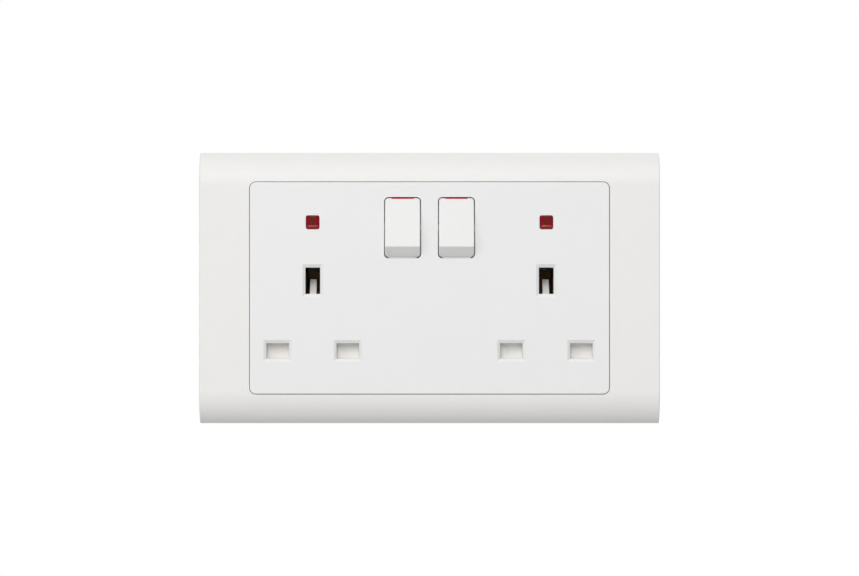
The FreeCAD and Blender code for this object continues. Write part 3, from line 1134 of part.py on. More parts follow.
for side, sign in SIDES.items():
    middle = (SOCKET[side], LENS_LEVEL)
    window_half = ("lens_width / 2", "lens_height / 2")
    lens = join(f"{side}_lens_solid",
                around(middle, window_half, (f"{FACE} - lens_rise", f"{FRONT_BACK} + lens_flange_thickness"),
                       f"{side}_lens_body", "lens_corner"),
                around(middle, [f"{half} + lens_flange" for half in window_half],
                       (FRONT_BACK, f"{FRONT_BACK} + lens_flange_thickness"), f"{side}_lens_flange"))
    piece(f"{side}_neon_lens", finish(f"{side}_lens_finish", lens,
                                      ("Chamfer", on_lens_front, ["lens_bevel"])))
    piece(f"{side}_neon_lamp", join(
        f"{side}_lamp_solid",
        rod(f"{side}_lamp_glass", "y", (f"{LAMP_FRONT} + lamp_radius", LAMP_END), middle, "lamp_radius"),
        ball(f"{side}_lamp_dome", middle[0], f"{LAMP_FRONT} + lamp_radius", middle[1], "lamp_radius")))
    strip_edge = f"({sign} * (socket_pitch / 2 - pin_pitch / 2 + strip_width / 2))"
    level = f"{LIVE} + brass_sheet / 2"
    up = f"{LENS_LEVEL} + lead_spread"
    wire = route(f"{side}_resistor_wire", [(SOCKET[side], LAMP_END, up), (SOCKET[side], level, up),
                                           (strip_edge, level, up)], "lead_wire", "lead_bend")
    body = outward(sign, f"{sign} * {strip_edge} + resistor_gap",
                   f"{sign} * {strip_edge} + resistor_gap + resistor_length")
    piece(f"{side}_neon_resistor", join(
        f"{side}_resistor_solid", wire,
        rod(f"{side}_resistor_body", "x", body, (level, up), "resistor_radius")))
    level = f"{NEUTRAL} + brass_sheet / 2"
    down = f"{LENS_LEVEL} - lead_spread"
    drop = f"{sign} * {LEAD_DROP}"
    piece(f"{side}_neon_lead", route(
        f"{side}_neutral_lead",
        [(SOCKET[side], LAMP_END, down), (SOCKET[side], level, down), (drop, level, down),
         (drop, level, f"{NEUTRAL_LEVEL} + strip_width / 2")], "lead_radius", "lead_bend"))

doc.recompute()
for item in doc.Objects:
    assert "Invalid" not in item.State and "Error" not in item.State, f"{item.Name} failed: {item.State}"
os.makedirs("parts", exist_ok=True)
for name, item in nodes.items():
    shape = item.Shape
    assert not shape.isNull() and shape.isValid(), f"{name} has no valid shape"
    shape.exportStep(f"parts/{name}.step")
    box = shape.BoundBox
    print(f"{name}: {len(shape.Solids)} solid(s), {shape.Volume:.1f} mm3,",
          f"{box.XMin:.2f}..{box.XMax:.2f}, {box.YMin:.2f}..{box.YMax:.2f}, {box.ZMin:.2f}..{box.ZMax:.2f}")
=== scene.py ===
# %% [markdown]
# # A twin switched wall socket
# The solids of this socket come packed from CAD: a clip-on frame, the insert with its pin slots, a rear
# housing, brass, switches, shutters and neon indicators. This lesson gives each of them its finish, and
# makes the pieces that follow a rule, such as threads and springs, with Geometry Nodes.
# Everything is in metres, in the CAD frame: X to the viewer's right, Z up and Y from the face into the wall.

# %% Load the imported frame
import json
import math
import bmesh
import bpy
from mathutils import Matrix, Vector


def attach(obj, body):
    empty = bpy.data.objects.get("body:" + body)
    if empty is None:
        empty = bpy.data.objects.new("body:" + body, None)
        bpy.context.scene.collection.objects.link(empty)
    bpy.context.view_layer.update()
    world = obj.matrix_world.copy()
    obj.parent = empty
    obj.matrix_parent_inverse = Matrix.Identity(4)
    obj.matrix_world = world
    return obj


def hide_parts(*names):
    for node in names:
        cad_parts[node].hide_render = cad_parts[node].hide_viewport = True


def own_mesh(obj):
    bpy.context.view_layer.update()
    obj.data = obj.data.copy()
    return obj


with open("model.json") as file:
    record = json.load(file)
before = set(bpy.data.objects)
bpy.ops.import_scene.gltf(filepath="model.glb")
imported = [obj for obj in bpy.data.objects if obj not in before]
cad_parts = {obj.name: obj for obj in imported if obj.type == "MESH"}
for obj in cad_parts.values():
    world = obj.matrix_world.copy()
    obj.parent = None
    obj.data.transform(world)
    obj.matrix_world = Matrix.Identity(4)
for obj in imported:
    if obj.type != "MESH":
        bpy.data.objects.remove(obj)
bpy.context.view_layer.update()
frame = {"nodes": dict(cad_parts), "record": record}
nodes = frame["nodes"]
MM = 0.001
SIDES = {"left": -1, "right": 1}
SOCKET_X = 37.0 * MM

# %% [markdown]
# ## Camera
# The photograph looks straight at the plate from a little over a metre, so the sides of the frame hardly
# show. A long lens at that distance gives the same flat perspective. A short lens close up would also fill
# the picture, but it would bulge the rockers towards the viewer.

# %% Camera
SENSOR = 36.0
PICTURE_WIDTH = 859
PIXELS_PER_MM = 3.158
FRONT = -9.2 * MM
DISTANCE = 1.2
view_width = PICTURE_WIDTH / PIXELS_PER_MM * MM

camera_data = bpy.data.cameras.new("camera")
camera_data.sensor_width = SENSOR
camera_data.lens = SENSOR * DISTANCE / view_width
camera = bpy.data.objects.new("camera", camera_data)
camera.location = (0.0, FRONT - DISTANCE, 0.0)
camera.rotation_euler = (math.radians(90), 0.0, 0.0)
bpy.context.scene.collection.objects.link(camera)
bpy.context.scene.camera = camera
bpy.context.scene.view_settings.view_transform = "Standard"
print("lens", round(camera_data.lens, 1), "mm")

# %% [markdown]
# ## Light and floor
# White plastic on a white ground only shows its form if the light has a direction. One tall soft lamp
# stands in front and above, tall so that the shadow in each slot fades slowly. A weak one on the left draws
# the faint shadow to the right of the rockers, and the world fills the rest, more from above than from the
# sides. A lamp behind the plate shows the housing, which no photograph of the face needs.
# The background is white because the world is drawn at strength 1 for camera rays, and for the rays that
# gloss and glass send out, while it lights the object at a lower level. The floor lies well below the
# plate, which hangs on a wall in use.

# %% Helper for node trees


def add(tree, kind, inputs=None, **properties):
    """Add one node, set its properties, then set or link its inputs."""
    node = tree.nodes.new(kind)
    for name, value in properties.items():
        setattr(node, name, value)
    for key, value in (inputs or {}).items():
        if isinstance(value, bpy.types.NodeSocket):
            tree.links.new(value, node.inputs[key])
        else:
            node.inputs[key].default_value = value
    return node


def math_node(tree, operation, first, second=0.0, clamp=False):
    """One Math node, as the value that it puts out."""
    return add(tree, "ShaderNodeMath", {0: first, 1: second}, operation=operation, use_clamp=clamp).outputs[0]


# %% World
FILL = 0.4
FILL_ABOVE = 0.24
world = bpy.data.worlds.new("studio")
bpy.context.scene.world = world
world.use_nodes = True
tree = world.node_tree
tree.nodes.clear()
path = add(tree, "ShaderNodeLightPath")
seen = math_node(tree, "MAXIMUM", path.outputs["Is Camera Ray"], path.outputs["Is Glossy Ray"])
seen = math_node(tree, "MAXIMUM", seen, path.outputs["Is Transmission Ray"])
direction = add(tree, "ShaderNodeTexCoord").outputs["Generated"]
height = add(tree, "ShaderNodeSeparateXYZ", {0: direction}).outputs["Z"]
above = math_node(tree, "MULTIPLY", math_node(tree, "MAXIMUM", height, 0.0), FILL_ABOVE)
fill = math_node(tree, "ADD", above, FILL)
strength = add(tree, "ShaderNodeMapRange", {"Value": seen, "To Min": fill, "To Max": 1.0})
sky = add(tree, "ShaderNodeBackground", {"Color": (1.0, 1.0, 1.0, 1.0), "Strength": strength.outputs[0]})
add(tree, "ShaderNodeOutputWorld", {"Surface": sky.outputs[0]})
print("world fill", FILL, "and", FILL + FILL_ABOVE, "from above")

# %% Lamps and floor
LAMP_WIDTH = 0.6
LAMP_HEIGHT = 0.9


def softbox(name, place, energy):
    """A soft lamp that faces the middle of the plate."""
    data = bpy.data.lights.new(name, "AREA")
    data.shape = "RECTANGLE"
    data.size = LAMP_WIDTH
    data.size_y = LAMP_HEIGHT
    data.energy = energy
    lamp = bpy.data.objects.new(name, data)
    lamp.location = place
    lamp.rotation_euler = (-Vector(place)).to_track_quat("-Z", "Y").to_euler()
    bpy.context.scene.collection.objects.link(lamp)


softbox("front_lamp", (-0.1, -1.42, 0.74), 12.0)
softbox("side_lamp", (-0.95, -1.15, 0.4), 2.7)
softbox("back_lamp", (0.5, 1.2, 0.9), 5.5)

FLOOR_LEVEL = -0.25
FLOOR_GREY = 0.58
floor_mesh = bpy.data.meshes.new("floor")
corners = [(-3.0, -3.0), (3.0, -3.0), (3.0, 2.0), (-3.0, 2.0)]
floor_mesh.from_pydata([(x, y, FLOOR_LEVEL) for x, y in corners], [], [(0, 1, 2, 3)])
floor = bpy.data.objects.new("floor", floor_mesh)
bpy.context.scene.collection.objects.link(floor)

floor_paint = bpy.data.materials.new("floor_paint")
floor_paint.use_nodes = True
floor_shader = floor_paint.node_tree.nodes["Principled BSDF"]
floor_shader.inputs["Base Color"].default_value = (FLOOR_GREY, FLOOR_GREY, FLOOR_GREY, 1.0)
floor_shader.inputs["Roughness"].default_value = 0.9
floor_mesh.materials.append(floor_paint)
print("three lamps, floor at", FLOOR_LEVEL)

# %% [markdown]
# ## Two effects that many finishes share
# Moulded plastic carries the skin of its mould: a grain far finer than a millimetre, and a slow drift in
# gloss where the melt flowed. Sheet and wire carry drawing lines along one direction and a faint tarnish.
# Each effect is a node group with named inputs, so every finish places it with its own sizes.

# %% Shader groups


def shader_group(name, inputs, outputs):
    """An empty shader group with float inputs, a Position, and float outputs."""
    group = bpy.data.node_groups.new(name, "ShaderNodeTree")
    group.interface.new_socket("Position", in_out="INPUT", socket_type="NodeSocketVector")
    for label, value in inputs.items():
        socket = group.interface.new_socket(label, in_out="INPUT", socket_type="NodeSocketFloat")
        socket.default_value = value
    for label in outputs:
        group.interface.new_socket(label, in_out="OUTPUT", socket_type="NodeSocketFloat")
    return group, add(group, "NodeGroupInput"), add(group, "NodeGroupOutput")


def noise_at(group, position, size, detail=2.0):
    """Noise whose features are about as large as size, in metres."""
    scale = math_node(group, "DIVIDE", 1.0, size)
    return add(group, "ShaderNodeTexNoise", {"Vector": position, "Scale": scale, "Detail": detail}).outputs[0]


moulded_skin, enter, leave = shader_group("moulded_skin", {"Grain": 0.0004, "Flow": 0.02},
                                          ("Height", "Flow"))
fine = noise_at(moulded_skin, enter.outputs["Position"], enter.outputs["Grain"])
flow = noise_at(moulded_skin, enter.outputs["Position"], enter.outputs["Flow"], 3.0)
moulded_skin.links.new(fine, leave.inputs["Height"])
moulded_skin.links.new(flow, leave.inputs["Flow"])

drawn_metal, enter, leave = shader_group("drawn_metal", {"Line": 0.0002, "Patch": 0.006, "Stretch": 0.03},
                                         ("Lines", "Tarnish"))
along = add(drawn_metal, "ShaderNodeCombineXYZ", {"X": enter.outputs["Stretch"], "Y": 1.0, "Z": 1.0})
drawn = add(drawn_metal, "ShaderNodeVectorMath", {0: enter.outputs["Position"], 1: along.outputs[0]},
            operation="MULTIPLY")
lines = noise_at(drawn_metal, drawn.outputs[0], enter.outputs["Line"])
tarnish = noise_at(drawn_metal, enter.outputs["Position"], enter.outputs["Patch"], 4.0)
drawn_metal.links.new(lines, leave.inputs["Lines"])
drawn_metal.links.new(tarnish, leave.inputs["Tarnish"])
print("shader groups:", moulded_skin.name, drawn_metal.name)

# %% [markdown]
# ## White mouldings
# Six pale plastics meet in this socket, and no two are quite alike: the frame is a touch warmer than the
# insert, the rockers reflect least, the shutters are cream, the housing behind is matt, and the plungers
# are bare nylon. One function makes all six from the moulded skin, each with its own colour, gloss and
# grain.

# %% White plastics
NOISE_LOW = 0.3
NOISE_HIGH = 0.7
PALER = 1.012
DEEPER = 0.985


def new_material(name):
    """An empty node material, its Principled shader and its Object coordinates."""
    material = bpy.data.materials.new(name)
    material.use_nodes = True
    tree = material.node_tree
    place = add(tree, "ShaderNodeTexCoord").outputs["Object"]
    return material, tree, tree.nodes["Principled BSDF"], place


def use_group(tree, group, place, **values):
    """Place a shader group in a material."""
    node = add(tree, "ShaderNodeGroup", node_tree=group)
    tree.links.new(place, node.inputs["Position"])
    for name, value in values.items():
        node.inputs[name].default_value = value
    return node


def blend_colours(tree, factor, first, second):
    """A colour that goes from the first to the second as the factor rises."""
    mix = add(tree, "ShaderNodeMix", data_type="RGBA")
    tree.links.new(factor, mix.inputs[0])
    mix.inputs[6].default_value = (*first, 1.0)
    mix.inputs[7].default_value = (*second, 1.0)
    return mix.outputs[2]


def spread(tree, value, low, high):
    """Turn the middle of a noise into the range from low to high."""
    return add(tree, "ShaderNodeMapRange", {"Value": value, "From Min": NOISE_LOW, "From Max": NOISE_HIGH,
                                            "To Min": low, "To Max": high}).outputs[0]


def bump(tree, shader, height, depth):
    """Raise a height on the surface, depth in metres."""
    node = add(tree, "ShaderNodeBump", {"Height": height, "Distance": depth, "Strength": 1.0})
    tree.links.new(node.outputs[0], shader.inputs["Normal"])


def moulding(name, colour, gloss, grain, depth, shine=0.5):
    """Moulded plastic: gloss is the roughness, grain its finest feature, shine how much it reflects."""
    material, tree, shader, place = new_material(name)
    skin = use_group(tree, moulded_skin, place, Grain=grain)
    paler = [min(1.0, value * PALER) for value in colour]
    deeper = [value * DEEPER for value in colour]
    tint = blend_colours(tree, skin.outputs["Flow"], deeper, paler)
    tree.links.new(tint, shader.inputs["Base Color"])
    rough = spread(tree, skin.outputs["Flow"], gloss - 0.03, gloss + 0.05)
    tree.links.new(rough, shader.inputs["Roughness"])
    bump(tree, shader, skin.outputs["Height"], depth)
    shader.inputs["IOR"].default_value = 1.5
    shader.inputs["Specular IOR Level"].default_value = shine
    return material


frame_white = moulding("frame_white", (0.80, 0.792, 0.775), 0.48, 0.00045, 0.000004, shine=0.32)
insert_white = moulding("insert_white", (0.79, 0.79, 0.788), 0.44, 0.00045, 0.000004, shine=0.42)
rocker_white = moulding("rocker_white", (0.768, 0.766, 0.76), 0.42, 0.0006, 0.000002, shine=0.25)
shutter_white = moulding("shutter_white", (0.89, 0.872, 0.83), 0.42, 0.0005, 0.000004)
housing_white = moulding("housing_white", (0.76, 0.76, 0.74), 0.55, 0.00025, 0.00001)
plunger_nylon = moulding("plunger_nylon", (0.72, 0.69, 0.6), 0.45, 0.0004, 0.000004)
print("white plastics: 6")

# %% [markdown]
# ## Red pieces
# The lens is a clear red moulding in front of a small glow lamp. Half of its light goes through it, and
# masks in its colour paint the rest: painted shade as a browner middle where the lamp stands behind, a
# painted highlight as a pale line on the step, and a plain red foot. Transmission alone would go black,
# because little light comes back out of the bore.
# The red flash on the rocker is opaque, and shows only when the switch is on.

# %% Red lens, lamp glass and flash
LENS_LEVEL = 20.8
LENS_STEP = -1.15
LENS_SIDES = (0.38, 0.003, 0.024)
# Painted shade: the browner middle where the lamp behind the lens swallows light.
LENS_LAMP_SHADE = (0.2, 0.03, 0.01)
LENS_FOOT = (0.42, 0.035, 0.05)
# Painted highlight: the pale line along the step of the lens.
LENS_STEP_HIGHLIGHT = (0.72, 0.17, 0.16)


def fade(tree, value, start, end):
    """A mask that goes smoothly from one to zero as the value goes from start to end, in millimetres."""
    return add(tree, "ShaderNodeMapRange", {"Value": value, "From Min": start * MM, "From Max": end * MM,
                                            "To Min": 1.0, "To Max": 0.0},
               interpolation_type="SMOOTHSTEP").outputs[0]


def blend_into(tree, mask, colour, patch):
    """Lay a patch of another colour on a colour, where the mask is one."""
    mix = add(tree, "ShaderNodeMix", {0: mask}, data_type="RGBA")
    tree.links.new(colour, mix.inputs[6])
    mix.inputs[7].default_value = (*patch, 1.0)
    return mix.outputs[2]


def lens_red():
    """Clear red plastic: a browner middle of painted lamp shade, a painted highlight on the step and a red
    foot.
    """
    material, tree, shader, place = new_material("lens_red")
    skin = use_group(tree, moulded_skin, place, Grain=0.0005, Flow=0.0016)
    apart = add(tree, "ShaderNodeSeparateXYZ", {0: place})
    across = math_node(tree, "SUBTRACT", math_node(tree, "ABSOLUTE", apart.outputs["X"]), SOCKET_X)
    across = math_node(tree, "ABSOLUTE", across)
    up = math_node(tree, "SUBTRACT", apart.outputs["Z"], (LENS_LEVEL + LENS_STEP) * MM)
    cloud = spread(tree, skin.outputs["Flow"], 0.7, 1.0)
    # Painted shade: the middle goes browner where the lamp stands behind the lens.
    middle = math_node(tree, "MULTIPLY", fade(tree, across, 0.35, 1.1), cloud)
    tint = blend_colours(tree, middle, LENS_SIDES, LENS_LAMP_SHADE)
    tint = blend_into(tree, fade(tree, up, -0.3, 0.1), tint, LENS_FOOT)
    # Painted highlight: a pale line along the step, narrower than the lens.
    step_highlight_band = fade(tree, math_node(tree, "ABSOLUTE", up), 0.02, 0.28)
    line = math_node(tree, "MULTIPLY", step_highlight_band, fade(tree, across, 1.2, 2.0))
    tint = blend_into(tree, line, tint, LENS_STEP_HIGHLIGHT)
    tree.links.new(tint, shader.inputs["Base Color"])
    tree.links.new(spread(tree, skin.outputs["Flow"], 0.08, 0.16), shader.inputs["Roughness"])
    bump(tree, shader, skin.outputs["Height"], 0.00001)
    shader.inputs["IOR"].default_value = 1.2
    shader.inputs["Transmission Weight"].default_value = 0.5
    return material


def lamp_glass():
    """Drawn glass tube with faint streaks."""
    material, tree, shader, place = new_material("lamp_glass")
    streak = use_group(tree, drawn_metal, place, Line=0.0006, Stretch=1.0)
    tint = blend_colours(tree, streak.outputs["Lines"], (0.9, 0.86, 0.8), (0.97, 0.96, 0.94))
    tree.links.new(tint, shader.inputs["Base Color"])
    tree.links.new(spread(tree, streak.outputs["Lines"], 0.02, 0.06), shader.inputs["Roughness"])
    shader.inputs["IOR"].default_value = 1.5
    shader.inputs["Transmission Weight"].default_value = 1.0
    return material


flash_red = moulding("flash_red", (0.55, 0.03, 0.04), 0.35, 0.0005, 0.000004)
lens_material = lens_red()
lamp_material = lamp_glass()
print("red pieces:", flash_red.name, lens_material.name, lamp_material.name)

# %% [markdown]
# ## Metals
# Brass strips are rolled, screws are plated and springs are drawn, so all of them show lines along one
# direction. The contact buttons are silver alloy with a dull bloom. The earth contact gets a darkened copy of
# brass, painted shade for the near-black that shows through the earth slots.

# %% Metals


def metal(name, bright, dull, gloss, line, stretch, depth=0.000002):
    """Rolled or drawn metal: bright and dull are its clean and tarnished colours."""
    material, tree, shader, place = new_material(name)
    drawn = use_group(tree, drawn_metal, place, Line=line, Stretch=stretch)
    tint = blend_colours(tree, drawn.outputs["Tarnish"], dull, bright)
    tree.links.new(tint, shader.inputs["Base Color"])
    rough = spread(tree, drawn.outputs["Lines"], gloss - 0.06, gloss + 0.1)
    tree.links.new(rough, shader.inputs["Roughness"])
    bump(tree, shader, drawn.outputs["Lines"], depth)
    shader.inputs["Metallic"].default_value = 1.0
    return material


brass = metal("brass", (0.62, 0.44, 0.18), (0.34, 0.22, 0.09), 0.46, 0.0002, 0.03)
# A darkened copy of brass: painted shade on the earth strap behind its slots.
dark_bronze = metal("dark_bronze", (0.24, 0.15, 0.07), (0.1, 0.06, 0.03), 0.5, 0.0002, 0.03)
silver = metal("silver", (0.86, 0.85, 0.82), (0.66, 0.64, 0.60), 0.28, 0.0003, 1.0)
zinc_steel = metal("zinc_steel", (0.70, 0.71, 0.72), (0.55, 0.55, 0.53), 0.3, 0.0003, 0.4)
spring_steel = metal("spring_steel", (0.55, 0.55, 0.56), (0.40, 0.40, 0.40), 0.32, 0.0002, 0.4)
print("metals:", brass.name, dark_bronze.name, silver.name, zinc_steel.name, spring_steel.name)

# %% [markdown]
# ## Small electrical pieces
# The resistor is a tan lacquered body with colour bands, and the lamp's neutral lead has blue insulation.
# The bands lie at places along X, so the material reads them from the Object coordinates.

# %% Resistor and lead


def along_x(tree, place):
    """Distance from the plate's middle, the same on both sides."""
    apart = add(tree, "ShaderNodeSeparateXYZ", {0: place})
    return math_node(tree, "ABSOLUTE", apart.outputs["X"])


def between(tree, value, low, high):
    """A mask that is one from low to high."""
    above = math_node(tree, "GREATER_THAN", value, low)
    return math_node(tree, "MULTIPLY", above, math_node(tree, "LESS_THAN", value, high))


BODY = (29.085 * MM, 32.285 * MM)
BANDS = [(29.45, (0.25, 0.1, 0.03)), (30.05, (0.01, 0.01, 0.01)), (30.65, (0.6, 0.5, 0.03)),
         (31.55, (0.5, 0.36, 0.12))]
BAND_WIDTH = 0.32 * MM


def resistor_tan():
    """Tan lacquer with four colour bands, and tinned wire on either side of it."""
    material, tree, shader, place = new_material("resistor_tan")
    skin = use_group(tree, moulded_skin, place, Grain=0.0004, Flow=0.002)
    tint = blend_colours(tree, skin.outputs["Flow"], (0.52, 0.36, 0.2), (0.66, 0.5, 0.32))
    x = along_x(tree, place)
    for start, colour in BANDS:
        tint = blend_into(tree, between(tree, x, start * MM, start * MM + BAND_WIDTH), tint, colour)
    wire = math_node(tree, "SUBTRACT", 1.0, between(tree, x, *BODY))
    tree.links.new(blend_into(tree, wire, tint, (0.72, 0.72, 0.7)), shader.inputs["Base Color"])
    tree.links.new(wire, shader.inputs["Metallic"])
    tree.links.new(spread(tree, skin.outputs["Flow"], 0.2, 0.35), shader.inputs["Roughness"])
    bump(tree, shader, skin.outputs["Height"], 0.00001)
    return material


resistor_material = resistor_tan()
lead_blue = moulding("lead_blue", (0.08, 0.2, 0.55), 0.42, 0.0003, 0.000006)
print("small pieces:", resistor_material.name, lead_blue.name)

# %% [markdown]
# ## One finish for each solid
# The record names a finish for every solid, so a table from that name to a material dresses all of them at
# once. Only the earth strap is then changed on its own, from brass to a darkened brass that paints shade.

# %% Give every CAD node its finish
FINISH = {
    "frame_white": frame_white, "insert_white": insert_white, "housing_white": housing_white,
    "rocker_white": rocker_white, "shutter_white": shutter_white, "flash_red": flash_red,
    "lens_red": lens_material, "lamp_glass": lamp_material, "brass": brass, "silver": silver,
    "zinc_steel": zinc_steel, "spring_steel": spring_steel, "plunger_nylon": plunger_nylon,
    "resistor_tan": resistor_material, "lead_blue": lead_blue,
}
for subpart in frame["record"]["subparts"]:
    mesh = nodes[subpart["node"]].data
    mesh.materials.clear()
    mesh.materials.append(FINISH[subpart["material_slot"]])
# The earth strap takes the darkened brass, as painted shade behind the earth slots.
nodes["earth_strap"].data.materials[0] = dark_bronze

# %% [markdown]
# ## How the pieces from Geometry Nodes are made
# Screws, springs and moulding marks repeat, and each follows a rule, so a node tree can make them from a
# few named sizes. Each tree gets the points where its pieces sit. Its result is then turned into a plain
# mesh, because an exported model can't keep a live tree. Modelling one screw by hand and copying it would
# look the same, but a new thread or length would mean modelling it again. The trees work in millimetres and
# scale the result, because cutting a slot of under a millimetre fails when it is written in metres. The
# cut uses the exact solver, since the quick one leaves open edges where the two bars of a cross meet.

# %% Helpers for Geometry Nodes


def geometry_tree(name, sizes):
    """A tree that takes points, a finish and named sizes in millimetres, and gives a geometry."""
    tree = bpy.data.node_groups.new(name, "GeometryNodeTree")
    tree.interface.new_socket("Points", in_out="INPUT", socket_type="NodeSocketGeometry")
    tree.interface.new_socket("Finish", in_out="INPUT", socket_type="NodeSocketMaterial")
    for label, value in sizes.items():
        kind = "NodeSocketInt" if isinstance(value, int) else "NodeSocketFloat"
        tree.interface.new_socket(label, in_out="INPUT", socket_type=kind).default_value = value
    tree.interface.new_socket("Geometry", in_out="OUTPUT", socket_type="NodeSocketGeometry")
    return tree, add(tree, "NodeGroupInput").outputs, add(tree, "NodeGroupOutput")


def close_tree(tree, enter, leave, shape, twist=0.0):
    """Set a shape, made in millimetres, on each point, leaning about X and twisted about its own axis."""
    lean = add(tree, "ShaderNodeCombineXYZ", {"X": enter["Lean"]})
    seats = add(tree, "GeometryNodeInstanceOnPoints", {"Points": enter["Points"], "Instance": shape,
                                                       "Rotation": lean.outputs[0], "Scale": (MM, MM, MM)})
    spin = add(tree, "ShaderNodeCombineXYZ", {"Z": twist})
    twisted = add(tree, "GeometryNodeRotateInstances", {"Instances": seats.outputs[0],
                                                        "Rotation": spin.outputs[0], "Local Space": True})
    real = add(tree, "GeometryNodeRealizeInstances", {"Geometry": twisted.outputs[0]})
    finished = add(tree, "GeometryNodeSetMaterial", {"Geometry": real.outputs[0],
                                                     "Material": enter["Finish"]})
    tree.links.new(finished.outputs[0], leave.inputs["Geometry"])
    return tree


SHARP = math.radians(35)


def bake(name, tree, points, **sizes):
    """Run a tree on its points, in millimetres, and keep what it makes as a plain mesh."""
    seats = bpy.data.meshes.new(name + "_seats")
    seats.from_pydata([tuple(value * MM for value in point) for point in points], [], [])
    carrier = bpy.data.objects.new(name + "_carrier", seats)
    bpy.context.scene.collection.objects.link(carrier)
    modifier = carrier.modifiers.new("tree", "NODES")
    modifier.node_group = tree
    for socket in tree.interface.items_tree:
        key = socket.name.replace(" ", "_").lower()
        if socket.in_out == "INPUT" and key in sizes:
            modifier[socket.identifier] = sizes[key]
    ready = carrier.evaluated_get(bpy.context.evaluated_depsgraph_get())
    mesh = bpy.data.meshes.new_from_object(ready)
    carrier.modifiers.remove(modifier)
    bpy.data.objects.remove(carrier)
    bpy.data.meshes.remove(seats)
    mesh.name = name
    mesh.shade_smooth()
    mesh.set_sharp_from_angle(angle=SHARP)
    return mesh


def finished_piece(name, mesh, body, slot, *replaced):
    """A mesh as a piece of the object: its body and the solids that it stands for; slot is not used."""
    piece = bpy.data.objects.new(name, mesh)
    bpy.context.scene.collection.objects.link(piece)
    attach(piece, body)
    if replaced:
        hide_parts(*replaced)
    print(name, "on", body, "with", len(mesh.polygons), "faces")
    return piece


# %% [markdown]
# ## Screws
# Three kinds of machine screw hold this socket: two long slotted ones that go into the wall box, six with a
# cross that hold the halves together, and four in the terminals. All are turned, so one tree walks along
# the outline of the screw, from the middle of the head to the tip, and spins that outline round the axis.
# The thread is a ripple on the radius that climbs by one pitch per turn. A small group does the walking: it
# says how far out and how far in the outline is, and two steps of it, a little apart, round the edges.

# %% Outline of a screw
OUTLINE_SIZES = ("Head Radius", "Head Height", "Neck Radius", "Neck Length", "Thread Radius",
                 "Thread Length")


def screw_outline():
    """Group: how far out and how far in the outline is, after walking so far along it."""
    group = bpy.data.node_groups.new("screw_outline", "GeometryNodeTree")
    for label in ("Walk", *OUTLINE_SIZES):
        group.interface.new_socket(label, in_out="INPUT", socket_type="NodeSocketFloat")
    for label in ("Out", "In", "Whole"):
        group.interface.new_socket(label, in_out="OUTPUT", socket_type="NodeSocketFloat")
    enter = add(group, "NodeGroupInput").outputs
    leave = add(group, "NodeGroupOutput").inputs
    under = math_node(group, "SUBTRACT", enter["Head Radius"], enter["Neck Radius"])
    step = math_node(group, "SUBTRACT", enter["Thread Radius"], enter["Neck Radius"])
    legs = [(enter["Head Radius"], "Out", "ADD"), (enter["Head Height"], "In", "ADD"),
            (under, "Out", "SUBTRACT"), (enter["Neck Length"], "In", "ADD"), (step, "Out", "ADD"),
            (enter["Thread Length"], "In", "ADD"), (enter["Thread Radius"], "Out", "SUBTRACT")]
    reached = {"Out": 0.0, "In": 0.0}
    start = 0.0
    for length, way, sense in legs:
        gone = math_node(group, "SUBTRACT", enter["Walk"], start)
        gone = add(group, "ShaderNodeClamp", {"Value": gone, "Min": 0.0, "Max": length}).outputs[0]
        reached[way] = math_node(group, sense, reached[way], gone)
        start = math_node(group, "ADD", start, length)
    group.links.new(reached["Out"], leave["Out"])
    group.links.new(reached["In"], leave["In"])
    group.links.new(start, leave["Whole"])
    return group


outline_group = screw_outline()
print("outline group:", len(outline_group.nodes), "nodes")

# %% Tree of a turned screw
SCREW_SIZES = {
    "Head Radius": 3.0, "Head Height": 2.0, "Neck Radius": 1.5, "Neck Length": 3.0, "Thread Radius": 1.75,
    "Thread Length": 20.0, "Pitch": 0.6, "Thread Depth": 0.3, "Edge": 0.2, "Drive Length": 7.0,
    "Cross Length": 0.8, "Drive Width": 0.8, "Drive Depth": 0.9, "Lean": 0.0, "Seed": 1, "Around": 28,
    "Rows": 240,
}
MERGE = 0.001


